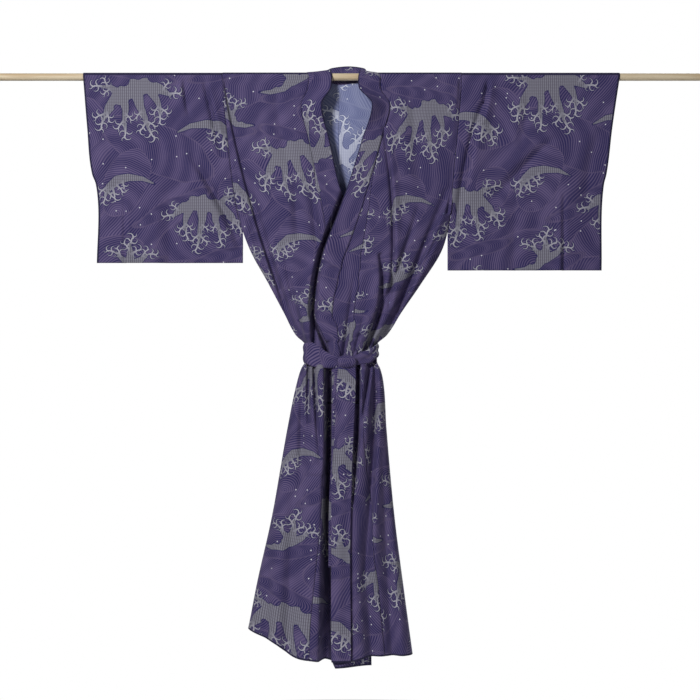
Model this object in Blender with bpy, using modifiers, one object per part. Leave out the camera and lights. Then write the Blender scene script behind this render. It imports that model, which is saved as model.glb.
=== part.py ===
"""A cotton yukata robe, tied with its own belt, hanging on a wooden rod that passes through both sleeves.

Metres, +Z up. The origin is on the rod's axis behind the neck, the robe faces -Y, and the wearer's
left front, at +X, lies over the wearer's right front. Every piece of cloth is a wall: an open
surface, worked out from the cross-sections of the hanging robe, with a Solidify modifier. A drop is a
distance below the rod's axis. A place across a panel is measured along the cloth from its side seam.
"""
from collections import namedtuple

import bmesh
import bpy
import numpy as np
from mathutils import Matrix

# The rod, and the cloth that bends over it
ROD_RADIUS = 0.0090
ROD_LENGTH = 1.80
ROD_SIDES = 24
ROD_SHARP = 40             # degrees: sharper edges, those of its sawn ends, are not smoothed
OVER_ROD = 0.0118          # radius of the middle of the cloth where it lies over the rod
CLOTH = 0.0015             # wall of a single cloth
BAND = 0.0022              # wall of the collar, belt and belt ends, which are folded double
SEAM_GAP = 0.0005          # left between neighbouring pieces
SEAM_EDGE = 0.0015         # width of the narrow column along each seam
ROUNDING_DROP = 0.10       # drop below the armhole in which the sides become round
LEAST_WRAP = 0.004         # a side seam nearer the side than this lies on the side
SEWN = 0.0011              # half the distance between front and back where they are sewn together
SETTLE = 0.085             # drop in which front and back come together below the rod
BOW_POWER = 2.4            # shape of a cross-section's bow: 2 is an ellipse, more is fuller

# The cut of the cloth
CENTRE_BACK = -0.020       # the robe hangs a little to one side of the origin
ARMHOLE_DROP = 0.375
HEM_DROP = 1.40
FRONT_WIDTH = 0.24         # side seam to overlap seam
EDGE_WIDTH = 0.39          # side seam to the overlap's free edge
NECK_SEAM = 0.205          # side seam to collar seam at the shoulder
COLLAR_SPREAD = 0.13       # how much further the collar seam has gone at the collar's end
COLLAR_END_DROP = 0.80
COLLAR_WIDTH = 0.055
COLLAR_END_GAP = 0.010     # the collar's end stays this far above the overlap panel's ledge
COLLAR_LAST_ROW = 0.020    # no other row of the collar is nearer its end than this
OVERLAP_LEDGE = 0.004      # below the collar's end the overlap panel widens to the free edge
LEAST_OVERLAP = 0.003      # narrowest top of an overlap panel
TUCK_START = 0.016         # the under front dips behind the over front this far outside its edge
TUCK_RUN = 0.013
TUCKED = 0.30              # share of the front's depth left for the front that lies underneath
FOLD_SHARE = 0.55          # share of the depth that a fold may take

# The hanging robe at each drop: where its two sides hang, how far its front and back stand from the
# rod's plane, where the free edges of the over and the under front are, and how far each side seam
# is carried round onto the back
Level = namedtuple("Level", "drop left right front back over under wrap")
LEVELS = (
    Level(0.000, -0.308, 0.270, 0.0118, 0.0118, 0.020, -0.043, 0.000),
    Level(0.030, -0.306, 0.269, 0.0125, 0.0120, 0.022, -0.046, 0.000),
    Level(0.070, -0.303, 0.266, 0.0135, 0.0125, 0.053, -0.068, 0.000),
    Level(0.150, -0.296, 0.259, 0.0160, 0.0140, 0.030, -0.050, 0.000),
    Level(0.260, -0.283, 0.249, 0.0220, 0.0180, -0.004, -0.026, 0.000),
    Level(0.340, -0.269, 0.242, 0.0270, 0.0215, -0.033, 0.000, 0.000),
    Level(0.420, -0.241, 0.222, 0.0310, 0.0250, -0.063, 0.020, 0.004),
    Level(0.500, -0.197, 0.172, 0.0350, 0.0290, -0.081, 0.036, 0.012),
    Level(0.570, -0.157, 0.124, 0.0380, 0.0320, -0.087, 0.044, 0.020),
    Level(0.632, -0.112, 0.066, 0.0380, 0.0330, -0.062, 0.044, 0.026),
    Level(0.655, -0.107, 0.064, 0.0360, 0.0315, -0.054, 0.043, 0.027),
    Level(0.708, -0.109, 0.067, 0.0360, 0.0315, -0.045, 0.043, 0.027),
    Level(0.740, -0.128, 0.082, 0.0410, 0.0355, -0.044, 0.044, 0.030),
    Level(0.850, -0.151, 0.088, 0.0480, 0.0410, -0.046, 0.046, 0.038),
    Level(1.070, -0.188, 0.108, 0.0570, 0.0480, -0.046, 0.048, 0.054),
    Level(1.250, -0.223, 0.131, 0.0640, 0.0540, -0.045, 0.050, 0.066),
    Level(1.400, -0.246, 0.151, 0.0690, 0.0590, -0.040, 0.052, 0.076),
)

# The largest folds: grooves pressed into the front or the back along a bowed line, from top to low
Fold = namedtuple("Fold", "name top top_x top_depth mid_x mid_depth low low_x low_depth width")
FRONT_FOLDS = (
    Fold("under_arm_left", 0.010, -0.300, 0.000, -0.222, 0.018, 0.680, -0.100, 0.014, 0.014),
    Fold("bust_left", 0.240, -0.090, 0.000, -0.084, 0.006, 0.440, -0.071, 0.004, 0.010),
    Fold("waist_left", 0.440, -0.072, 0.004, -0.086, 0.014, 0.680, -0.088, 0.014, 0.009),
    Fold("waist_right", 0.430, 0.072, 0.000, 0.066, 0.012, 0.680, 0.020, 0.016, 0.011),
    Fold("under_arm_right", 0.290, 0.224, 0.000, 0.133, 0.020, 0.680, 0.048, 0.018, 0.014),
    Fold("skirt_left", 0.680, -0.088, 0.014, -0.083, 0.016, 0.960, -0.068, 0.004, 0.009),
    Fold("skirt_gap_high", 0.640, -0.058, 0.010, -0.054, 0.026, 0.940, -0.054, 0.016, 0.010),
    Fold("skirt_gap_low", 0.940, -0.054, 0.016, -0.057, 0.030, 1.400, -0.062, 0.034, 0.014),
    Fold("skirt_middle", 0.680, 0.020, 0.016, 0.017, 0.020, 1.000, 0.004, 0.000, 0.012),
    Fold("skirt_right", 0.680, 0.048, 0.018, 0.054, 0.018, 1.250, 0.032, 0.004, 0.012),
    Fold("hem_left", 0.900, -0.130, 0.000, -0.137, 0.012, 1.400, -0.139, 0.018, 0.016),
    Fold("hem_right", 0.850, 0.072, 0.000, 0.086, 0.012, 1.400, 0.100, 0.018, 0.018),
)
BACK_FOLDS = (
    Fold("back_arm_left", 0.080, -0.262, 0.000, -0.208, 0.014, 0.680, -0.092, 0.016, 0.013),
    Fold("back_waist_left", 0.300, -0.140, 0.000, -0.103, 0.012, 0.680, -0.062, 0.016, 0.010),
    Fold("back_middle_left", 0.440, -0.058, 0.000, -0.042, 0.010, 0.680, -0.034, 0.016, 0.009),
    Fold("back_middle_right", 0.400, 0.022, 0.000, 0.004, 0.010, 0.680, -0.005, 0.016, 0.009),
    Fold("back_waist_right", 0.260, 0.100, 0.000, 0.064, 0.012, 0.680, 0.021, 0.016, 0.010),
    Fold("back_arm_right", 0.120, 0.226, 0.000, 0.163, 0.014, 0.680, 0.049, 0.016, 0.013),
    Fold("back_skirt_far_left", 0.680, -0.092, 0.016, -0.166, 0.016, 1.400, -0.212, 0.014, 0.014),
    Fold("back_skirt_left", 0.680, -0.062, 0.016, -0.098, 0.022, 1.400, -0.124, 0.024, 0.014),
    Fold("back_skirt_middle_left", 0.680, -0.034, 0.016, -0.050, 0.020, 1.400, -0.066, 0.022, 0.012),
    Fold("back_skirt_middle_right", 0.680, -0.005, 0.016, 0.004, 0.020, 1.400, 0.012, 0.022, 0.012),
    Fold("back_skirt_right", 0.680, 0.021, 0.016, 0.034, 0.022, 1.400, 0.048, 0.024, 0.012),
    Fold("back_skirt_far_right", 0.680, 0.049, 0.016, 0.082, 0.022, 1.400, 0.114, 0.020, 0.014),
)

# The hem's height follows where the cloth is drawn in: drops of the hem from left to right
Hem = namedtuple("Hem", "x under over back")
HEM = (
    Hem(-0.246, 1.333, 1.394, 1.333),
    Hem(-0.180, 1.362, 1.394, 1.360),
    Hem(-0.138, 1.392, 1.400, 1.382),
    Hem(-0.078, 1.403, 1.400, 1.392),
    Hem(-0.044, 1.410, 1.412, 1.397),
    Hem(-0.036, 1.429, 1.412, 1.398),
    Hem(0.052, 1.421, 1.394, 1.398),
    Hem(0.151, 1.421, 1.394, 1.394),
)
HEM_START_DROP = 0.75      # above this the rows are level

# The neck, from the top of the rod to the middle of the back: how far out from the centre back the
# collar seam is, where the seam lies, and where the collar's folded edge stands on either side
Neck = namedtuple("Neck", "seam_out seam_y seam_z edge_left edge_right edge_y edge_z")
NECK = (
    Neck(0.085, 0.0000, 0.0118, -0.046, 0.024, 0.000, 0.0175),
    Neck(0.080, 0.0083, 0.0083, -0.050, 0.031, 0.014, 0.0185),
    Neck(0.070, 0.0118, 0.0000, -0.055, 0.038, 0.026, 0.0180),
    Neck(0.045, 0.0124, -0.0100, -0.046, 0.034, 0.036, 0.0215),
)
BACK_NECK = Neck(0.000, 0.0128, -0.0180, -0.004, -0.004, 0.042, 0.0245)
COLLAR_STAND = 0.026       # how far the collar's edge stands out at the front of the neck
COLLAR_STAND_DROP = 0.070
COLLAR_STAND_REACH = 0.045
COLLAR_STAND_POWER = 1.5   # the stand grows towards the folded edge by this power of the width

# The sleeves: x of either cuff at each drop, from the rod to the bottom
Sleeve = namedtuple("Sleeve", "drop cuff_left cuff_right")
SLEEVE = (
    Sleeve(0.000, -0.645, 0.652),
    Sleeve(0.120, -0.636, 0.635),
    Sleeve(0.235, -0.624, 0.621),
    Sleeve(0.260, -0.615, 0.615),
    Sleeve(0.455, -0.613, 0.609),
)
SLEEVE_DROP_LEFT = 0.450
SLEEVE_DROP_RIGHT = 0.468
ARMPIT_GAP = 0.0012        # from the side seam to the sleeve, where they part
SLEEVE_BILLOW = 0.005      # how far the middle of a sleeve's front and back hang apart

# The belt, its knot and its two ends
BELT_WIDTH = 0.036         # drawn together round the waist
BELT_CLEAR = 0.0050        # from the cloth's outermost folds to the middle of the belt
BELT_DROP_LEFT = 0.676
BELT_DROP_RIGHT = 0.661
BELT_SAG = 0.022           # towards the knot
BELT_SAG_POWER = 1.5       # narrows the sag to the belt's front
BELT_STATIONS = 60
KNOT_X = -0.007
KNOT_DROP = 0.690
KNOT_SIZE = (0.042, 0.020, 0.030)
KNOT_GAP = 0.0015          # between the belt's face and the knot
TAIL_WIDTH = 0.045
TAIL_CLEAR = 0.0068
UNDER_TAIL_CLEAR = 0.0028
TAIL_TOP_DROP = 0.74       # above this the belt ends hang straight down from the belt
TAIL_ROWS = 12
Tail = namedtuple("Tail", "drop x")
FRONT_TAIL = (Tail(0.708, -0.007), Tail(0.90, -0.014), Tail(1.03, -0.021), Tail(1.24, -0.0235),
              Tail(1.402, -0.021))
UNDER_TAIL = (Tail(0.714, -0.016), Tail(0.90, -0.021), Tail(1.03, -0.027), Tail(1.18, -0.029))

# How finely the cloth is divided
PANEL_COLUMNS = 13
OVERLAP_COLUMNS = 4
COLLAR_COLUMNS = 4
SLEEVE_COLUMNS = 6
FINE = 400                 # points on a cross-section before the columns are spaced along it
AT_ARMHOLE = tuple(np.linspace(0.04, ARMHOLE_DROP, 6))
ABOVE_BELT = (0.440, 0.500, 0.555, 0.600)
AT_BELT = (0.632, 0.655, 0.682, 0.708, 0.740)
BELOW_BELT = tuple(np.linspace(0.797, HEM_DROP, 8))
DROPS = AT_ARMHOLE + ABOVE_BELT + AT_BELT + BELOW_BELT
ROD_TURN = np.radians((0.0, 45.0, 90.0))
SLEEVE_TURN = np.radians((45.0, 90.0, 135.0))
ON_BACK = 1e-6             # turns a point that lies right at the side onto the back


def along(rows, column, place, key="drop"):
    """One column of a table, read at a place between its rows on a smooth curve through them."""
    at = np.array([getattr(row, key) for row in rows])
    value = np.array([getattr(row, column) for row in rows])
    step = np.diff(at)
    rise = np.diff(value) / step
    slope = np.concatenate(([rise[0]], (rise[:-1] + rise[1:]) / 2, [rise[-1]]))
    slope[1:-1] = np.where(rise[:-1] * rise[1:] > 0, slope[1:-1], 0)
    place = np.clip(place, at[0], at[-1])
    i = np.clip(np.searchsorted(at, place, side="right") - 1, 0, len(at) - 2)
    t = (place - at[i]) / step[i]
    blend = t * t * (3 - 2 * t)
    lean = step[i] * (slope[i] * t * (1 - t) ** 2 - slope[i + 1] * t * t * (1 - t))
    return value[i] + (value[i + 1] - value[i]) * blend + lean


def ease(t):
    """0 below 0, 1 above 1, and a smooth step between."""
    t = np.clip(t, 0, 1)
    return t * t * (3 - 2 * t)


def edge_depth(drop):
    """Half the distance between front and back at the side: wide over the rod, then closing."""
    return SEWN + (OVER_ROD - SEWN) * np.exp(-drop / SETTLE)


def fold_depth(folds, x, drop):
    """Sum of the folds at a place: each is a bell across and a parabola of depth along its length."""
    depth = np.zeros_like(x)
    for fold in folds:
        t = (drop - fold.top) / (fold.low - fold.top)
        if not 0 <= t <= 1:
            continue
        hump = 4 * t * (1 - t)
        line = fold.top_x + (fold.low_x - fold.top_x) * t
        line += (fold.mid_x - (fold.top_x + fold.low_x) / 2) * hump
        strength = fold.top_depth + (fold.low_depth - fold.top_depth) * t
        strength += (fold.mid_depth - (fold.top_depth + fold.low_depth) / 2) * hump
        depth += strength * np.exp(-((x - line) / fold.width) ** 2)
    return depth


class Section:
    """The level cross-section of the hanging robe at one drop."""

    def __init__(self, drop):
        self.drop = drop
        self.left = along(LEVELS, "left", drop)
        self.right = along(LEVELS, "right", drop)
        self.over = along(LEVELS, "over", drop)
        self.under = along(LEVELS, "under", drop)
        self.wrap = along(LEVELS, "wrap", drop)
        self.depth = {"front": along(LEVELS, "front", drop), "back": along(LEVELS, "back", drop)}
        self.middle = (self.left + self.right) / 2
        self.half = (self.right - self.left) / 2

    def angle(self, x, back=False):
        """Angle round the section, from 0 at the left side over the front to pi at the right side."""
        turn = np.arccos(np.clip((self.middle - x) / self.half, -1, 1))
        return 2 * np.pi - turn if back else turn

    def envelope(self, x, side):
        """How far the cloth stands from the rod's plane, folds left out: a full, rounded bow."""
        across = np.abs((x - self.middle) / self.half)
        roundness = 1 - (1 - 1 / BOW_POWER) * ease((self.drop - ARMHOLE_DROP) / ROUNDING_DROP)
        bow = np.clip(1 - across ** BOW_POWER, 0, 1) ** roundness
        edge = edge_depth(self.drop)
        return edge + (max(self.depth[side], edge) - edge) * bow

    def surface(self, x, side):
        """The same with the folds pressed in, never deeper than their share of the depth."""
        outer = self.envelope(x, side)
        folds = FRONT_FOLDS if side == "front" else BACK_FOLDS
        most = FOLD_SHARE * outer
        return outer - most * np.tanh(fold_depth(folds, x, self.drop) / most)

    def points(self, turn, tucked=False):
        """x and y round the section; a tucked front passes behind the over front's edge."""
        x = self.middle - self.half * np.cos(turn)
        front = self.surface(x, "front")
        if tucked:
            hidden = ease((x - self.over + TUCK_START) / TUCK_RUN)
            front = front + (TUCKED * self.envelope(x, "front") - front) * hidden
        on_back = (turn > np.pi) | (turn < 0)
        return x, np.where(on_back, self.surface(x, "back"), -front)

    def strip(self, start, stop, first, last, columns, tucked=False):
        """A row of points between two shares of the cloth that runs from one angle to another.

        The outermost columns are narrow, so that neighbouring walls end square to each other.
        """
        turn = np.linspace(start, stop, FINE)
        x, y = self.points(turn, tucked)
        length = np.concatenate(([0], np.cumsum(np.hypot(np.diff(x), np.diff(y)))))
        ends = np.array((first, last)) * length[-1] + np.array((1, -1)) * SEAM_GAP / 2
        inner = ends + np.array((1, -1)) * min(SEAM_EDGE, (ends[1] - ends[0]) / columns)
        a, b = np.interp(inner, length, turn)
        turns = np.concatenate((np.interp(ends[:1], length, turn), np.linspace(a, b, columns - 1),
                                np.interp(ends[1:], length, turn)))
        x, y = self.points(turns, tucked)
        return np.stack((x, y, np.full_like(x, -self.drop)), axis=1)


def side_angle(section, hand, back=False):
    """Angle of a side seam: at the side down to the armhole, then carried round onto the back."""
    moved = section.wrap if section.wrap > LEAST_WRAP else 0.0
    if hand == "left":
        turn = -section.angle(section.left + moved)
        return turn + 2 * np.pi if back else turn
    return section.angle(section.right - moved, back=moved > 0) + (ON_BACK if back else 0.0)


def front_strip(drop, hand, first, last, columns):
    """A row of points across one front, between two shares of the cloth from side seam to edge."""
    section = Section(drop)
    edge = section.angle(section.under if hand == "left" else section.over)
    return section.strip(side_angle(section, hand), edge, first, last, columns, hand == "left")


def back_strip(drop, hand, columns):
    """A row of points across one half of the back, from its side seam to the centre back."""
    section = Section(drop)
    centre = section.angle(CENTRE_BACK, back=True)
    start = side_angle(section, hand, back=True) - (ON_BACK if hand == "left" else 0.0)
    return section.strip(start, centre, 0, 1, columns)


def collar_seam(drop):
    """Distance along the cloth from the side seam to the collar seam."""
    return NECK_SEAM + COLLAR_SPREAD * min(drop / COLLAR_END_DROP, 1)


def whole_front(drop):
    """Distance along the cloth from the side seam to the front's free edge."""
    return min(collar_seam(drop) + COLLAR_WIDTH, EDGE_WIDTH)


def drop_hem(points, layer):
    """Lower the rows below the waist in step, so that the last follows the hem's own line."""
    share = np.clip((-points[..., 2] - HEM_START_DROP) / (HEM_DROP - HEM_START_DROP), 0, 1) ** 2
    hem = along(HEM, layer, points[..., 0], key="x")
    points[..., 2] -= share * (hem - HEM_DROP)
    return points


def make_object(name, bm, material, wall=None, smooth=True):
    """Put a finished bmesh in the robe's collection, with its material and its wall."""
    mesh = bpy.data.meshes.new(name)
    bm.to_mesh(mesh)
    bm.free()
    if smooth:
        mesh.shade_smooth()
    mesh.materials.append(material)
    piece = bpy.data.objects.new(name, mesh)
    collection.objects.link(piece)
    if wall:
        shell = piece.modifiers.new("wall", "SOLIDIFY")
        shell.thickness = wall
        shell.offset = 0
    return piece


def make_sheet(name, rows, material, wall, closed=False):
    """A wall of cloth through a grid of points, its rows in order along the cloth."""
    grid = np.asarray(rows)
    bm = bmesh.new()
    verts = [[bm.verts.new(point) for point in row] for row in grid]
    if closed:
        verts.append(verts[0])
    for upper, lower in zip(verts, verts[1:]):
        for i in range(len(upper) - 1):
            bm.faces.new((upper[i], upper[i + 1], lower[i + 1], lower[i]))
    bm.normal_update()
    return make_object(name, bm, material, wall)


def make_material(name, colour, roughness):
    """A Principled material of one colour."""
    material = bpy.data.materials.new(name)
    material.use_nodes = True
    shader = material.node_tree.nodes["Principled BSDF"]
    shader.inputs["Base Color"].default_value = (*colour, 1)
    shader.inputs["Roughness"].default_value = roughness
    shader.inputs["Metallic"].default_value = 0
    return material


def shoulder_rows(hand, front_edge, back_row, side_x, columns):
    """Rows of a body panel over the rod, from its front to the first row of its back."""
    rows = []
    inner_front = front_edge
    for turn in ROD_TURN[:-1]:
        inner_top = CENTRE_BACK + np.sign(side_x - CENTRE_BACK) * NECK[0].seam_out
        inner = inner_front + (inner_top - inner_front) * (turn / ROD_TURN[-1])
        x = np.linspace(side_x, inner, columns + 1)
        rows.append(np.stack((x, np.full_like(x, -OVER_ROD * np.cos(turn)),
                              np.full_like(x, OVER_ROD * np.sin(turn))), axis=1))
    for place in NECK:
        inner = CENTRE_BACK + np.sign(side_x - CENTRE_BACK) * place.seam_out
        outer = side_x + along(LEVELS, hand, -place.seam_z) - along(LEVELS, hand, 0.0)
        x = np.linspace(outer, inner, columns + 1)
        rows.append(np.stack((x, np.full_like(x, place.seam_y), np.full_like(x, place.seam_z)),
                             axis=1))
    rows.append(back_row)
    return rows


def make_body(hand):
    """One body panel: a single length of cloth from the front hem over the rod to the back hem."""
    sign = -1 if hand == "left" else 1
    layer = "under" if hand == "left" else "over"
    front = []
    for drop in reversed(DROPS):
        share = min(FRONT_WIDTH, collar_seam(drop)) / whole_front(drop)
        front.append(front_strip(drop, hand, 0, share, PANEL_COLUMNS))
    side_x = along(LEVELS, hand, 0.0) - sign * SEAM_GAP / 2
    back_neck = back_strip(-BACK_NECK.seam_z, hand, PANEL_COLUMNS)
    top_share = NECK_SEAM / whole_front(0.0)
    top_edge = front_strip(0.0, hand, 0, top_share, 2)[-1, 0]
    back = [back_strip(drop, hand, PANEL_COLUMNS) for drop in DROPS]
    rows = [drop_hem(row, layer) for row in front]
    rows += shoulder_rows(hand, top_edge, back_neck, side_x, PANEL_COLUMNS)
    rows += [drop_hem(row, "back") for row in back]
    return make_sheet("body_" + hand, rows, cotton, CLOTH)


def make_overlap(hand):
    """The long narrow panel sewn to the front's inner edge, ending in the front's free edge."""
    layer = "under" if hand == "left" else "over"
    rows = []
    for drop in (d for d in DROPS if collar_seam(d) > FRONT_WIDTH + LEAST_OVERLAP):
        whole = whole_front(drop)
        seam = collar_seam(drop)
        if drop > COLLAR_END_DROP:
            seam = whole
        row = front_strip(drop, hand, FRONT_WIDTH / whole, seam / whole, OVERLAP_COLUMNS)
        rows.append(drop_hem(row, layer))
        if np.isclose(drop, BELOW_BELT[0]):
            ledge = front_strip(COLLAR_END_DROP + OVERLAP_LEDGE, hand, FRONT_WIDTH / EDGE_WIDTH, 1,
                                OVERLAP_COLUMNS)
            rows.append(drop_hem(ledge, layer))
    return make_sheet("overlap_" + hand, rows, cotton, CLOTH)


def across(row):
    """The share of a row's width reached at each of its points."""
    reach = np.concatenate(([0], np.cumsum(np.linalg.norm(np.diff(row, axis=0), axis=1))))
    return reach / reach[-1]


def collar_front_row(drop, hand):
    """A row across the collar on one front, its folded edge standing out near the neck."""
    whole = whole_front(drop)
    row = front_strip(drop, hand, collar_seam(drop) / whole, 1, COLLAR_COLUMNS)
    away = (drop - COLLAR_STAND_DROP) / COLLAR_STAND_REACH
    stand = COLLAR_STAND * np.exp(-away * away)
    row[:, 1] -= stand * across(row) ** COLLAR_STAND_POWER
    return row


def collar_rod_rows(hand):
    """Rows across the collar where it climbs from the front onto the top of the rod."""
    sign = -1 if hand == "left" else 1
    low = collar_front_row(0.0, hand)
    high = collar_neck_row(NECK[0], sign)
    rows = [low]
    middle = (low + high) / 2
    out = np.linalg.norm((low[:, 1:] + high[:, 1:]) / 2, axis=1)
    radius = (np.linalg.norm(low[:, 1:], axis=1) + np.linalg.norm(high[:, 1:], axis=1)) / 2
    middle[:, 1:] *= (radius / out)[:, None]
    rows.append(middle)
    return rows


def collar_neck_row(place, sign, gap=2 * SEAM_GAP):
    """A row across the collar where it stands round the back of the neck."""
    edge_x = place.edge_left if sign < 0 else place.edge_right
    seam = np.array((CENTRE_BACK + sign * (place.seam_out - gap), place.seam_y, place.seam_z))
    if place.seam_z < OVER_ROD / 2:
        seam[2] += gap
    edge = np.array((edge_x, place.edge_y, place.edge_z))
    share = np.linspace(0, 1, COLLAR_COLUMNS + 1)[:, None]
    return seam + (edge - seam) * share


def make_collar():
    """The collar: one long folded band from the under front's edge round the neck to the over's."""
    drops = [COLLAR_END_DROP - COLLAR_END_GAP]
    drops += [d for d in reversed(DROPS) if d < COLLAR_END_DROP - COLLAR_LAST_ROW]
    rows = [collar_front_row(d, "left") for d in drops]
    rows += collar_rod_rows("left")
    rows += [collar_neck_row(place, -1) for place in NECK]
    rows += [collar_neck_row(BACK_NECK, 0)]
    rows += [collar_neck_row(place, 1) for place in reversed(NECK)]
    rows += reversed(collar_rod_rows("right"))
    rows += [collar_front_row(d, "right") for d in reversed(drops)]
    return make_sheet("collar", rows, cotton, BAND)


def make_sleeve(hand):
    """A sleeve: one cloth folded over the rod, its cuff sewn up below the hand's opening."""
    sign = -1 if hand == "left" else 1
    bottom = SLEEVE_DROP_LEFT if hand == "left" else SLEEVE_DROP_RIGHT
    side = {}
    across = np.linspace(0, 1, SLEEVE_COLUMNS + 1)
    for drop in (0.0,) + AT_ARMHOLE + (bottom,):
        gap = SEAM_GAP / 2 if drop < ARMHOLE_DROP else ARMPIT_GAP
        armhole = along(LEVELS, hand, min(drop, ARMHOLE_DROP)) + sign * gap
        cuff = along(SLEEVE, "cuff_" + hand, drop)
        x = armhole + (cuff - armhole) * across
        window = np.sin(np.pi * min(drop / bottom, 1)) * np.sin(np.pi * across)
        y = edge_depth(drop) + SLEEVE_BILLOW * window
        side[drop] = np.stack((x, y, np.full_like(x, -drop)), axis=1)
    back = [side[drop] for drop in sorted(side)]
    front = [row * (1, -1, 1) for row in reversed(back)]
    top = []
    for turn in SLEEVE_TURN:
        x = side[0.0][:, 0]
        top.append(np.stack((x, np.full_like(x, -OVER_ROD * np.cos(turn)),
                             np.full_like(x, OVER_ROD * np.sin(turn))), axis=1))
    return make_sheet("sleeve_" + hand, front + top + back, cotton, CLOTH)


def make_belt():
    """The belt round the waist: a band that bridges the folds and sags towards its knot."""
    section = Section(BELT_DROP_LEFT)
    rows = []
    for turn in np.linspace(0, 2 * np.pi, BELT_STATIONS, endpoint=False):
        x = section.middle - section.half * np.cos(turn)
        side = "front" if turn <= np.pi else "back"
        outer = section.envelope(np.array([x]), side)[0] * (-1 if side == "front" else 1)
        point = np.array((x - section.middle, outer))
        scale = 1 + BELT_CLEAR / section.half, 1 + BELT_CLEAR / section.depth[side]
        point = point * scale
        share = (x - section.left) / (section.right - section.left)
        drop = BELT_DROP_LEFT + (BELT_DROP_RIGHT - BELT_DROP_LEFT) * share
        drop += BELT_SAG * max(np.sin(turn), 0) ** BELT_SAG_POWER
        top = (section.middle + point[0], point[1], BELT_WIDTH / 2 - drop)
        low = (section.middle + point[0], point[1], -BELT_WIDTH / 2 - drop)
        rows.append((top, low))
    return make_sheet("belt", rows, cotton, BAND, closed=True)


def make_knot():
    """The belt's knot: a small flattened lump on the front of the belt."""
    front = Section(KNOT_DROP).depth["front"] + BELT_CLEAR + BAND / 2
    bm = bmesh.new()
    bmesh.ops.create_uvsphere(bm, u_segments=16, v_segments=10, radius=0.5)
    bmesh.ops.scale(bm, vec=KNOT_SIZE, verts=bm.verts)
    bmesh.ops.translate(bm, verts=bm.verts,
                        vec=(KNOT_X, -front - KNOT_GAP - KNOT_SIZE[1] / 2, -KNOT_DROP))
    return make_object("belt_knot", bm, cotton)


def make_tail(name, stations, clear, wall):
    """One end of the belt, hanging from the knot down the front of the skirt."""
    rows = []
    for drop in np.linspace(stations[0].drop, stations[-1].drop, TAIL_ROWS):
        x = along(stations, "x", drop)
        y = -(max(along(LEVELS, "front", drop), along(LEVELS, "front", TAIL_TOP_DROP)) + clear)
        rows.append(((x - TAIL_WIDTH / 2, y, -drop), (x, y, -drop), (x + TAIL_WIDTH / 2, y, -drop)))
    return make_sheet(name, rows, cotton, wall)


def make_rod():
    """The rod: a plain turned stick, sawn square at both ends."""
    bm = bmesh.new()
    bmesh.ops.create_cone(bm, cap_ends=True, segments=ROD_SIDES, radius1=ROD_RADIUS,
                          radius2=ROD_RADIUS, depth=ROD_LENGTH,
                          matrix=Matrix.Rotation(np.pi / 2, 4, "Y"))
    rod = make_object("rod", bm, wood)
    rod.data.set_sharp_from_angle(angle=np.radians(ROD_SHARP))
    return rod


for leftover in list(bpy.data.objects):
    bpy.data.objects.remove(leftover)
collection = bpy.data.collections.new("yukata_on_rod")
bpy.context.scene.collection.children.link(collection)
cotton = make_material("printed_cotton", (0.085, 0.065, 0.20), 0.85)
wood = make_material("pale_wood", (0.72, 0.62, 0.48), 0.45)

make_rod()
for side_name in ("left", "right"):
    make_body(side_name)
    make_overlap(side_name)
    make_sleeve(side_name)
make_collar()
make_belt()
make_knot()
make_tail("belt_end_front", FRONT_TAIL, TAIL_CLEAR, BAND)
make_tail("belt_end_under", UNDER_TAIL, UNDER_TAIL_CLEAR, CLOTH)
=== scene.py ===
"""The looks of a cotton yukata robe, tied with its own belt and hanging on a rod through both sleeves.

Metres, +Z up, with the origin on the rod's axis behind the neck. The robe faces -Y, and the wearer's
left front, at +X, lies over the right front. A drop is a distance below the rod's axis.
"""
from collections import namedtuple

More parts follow.
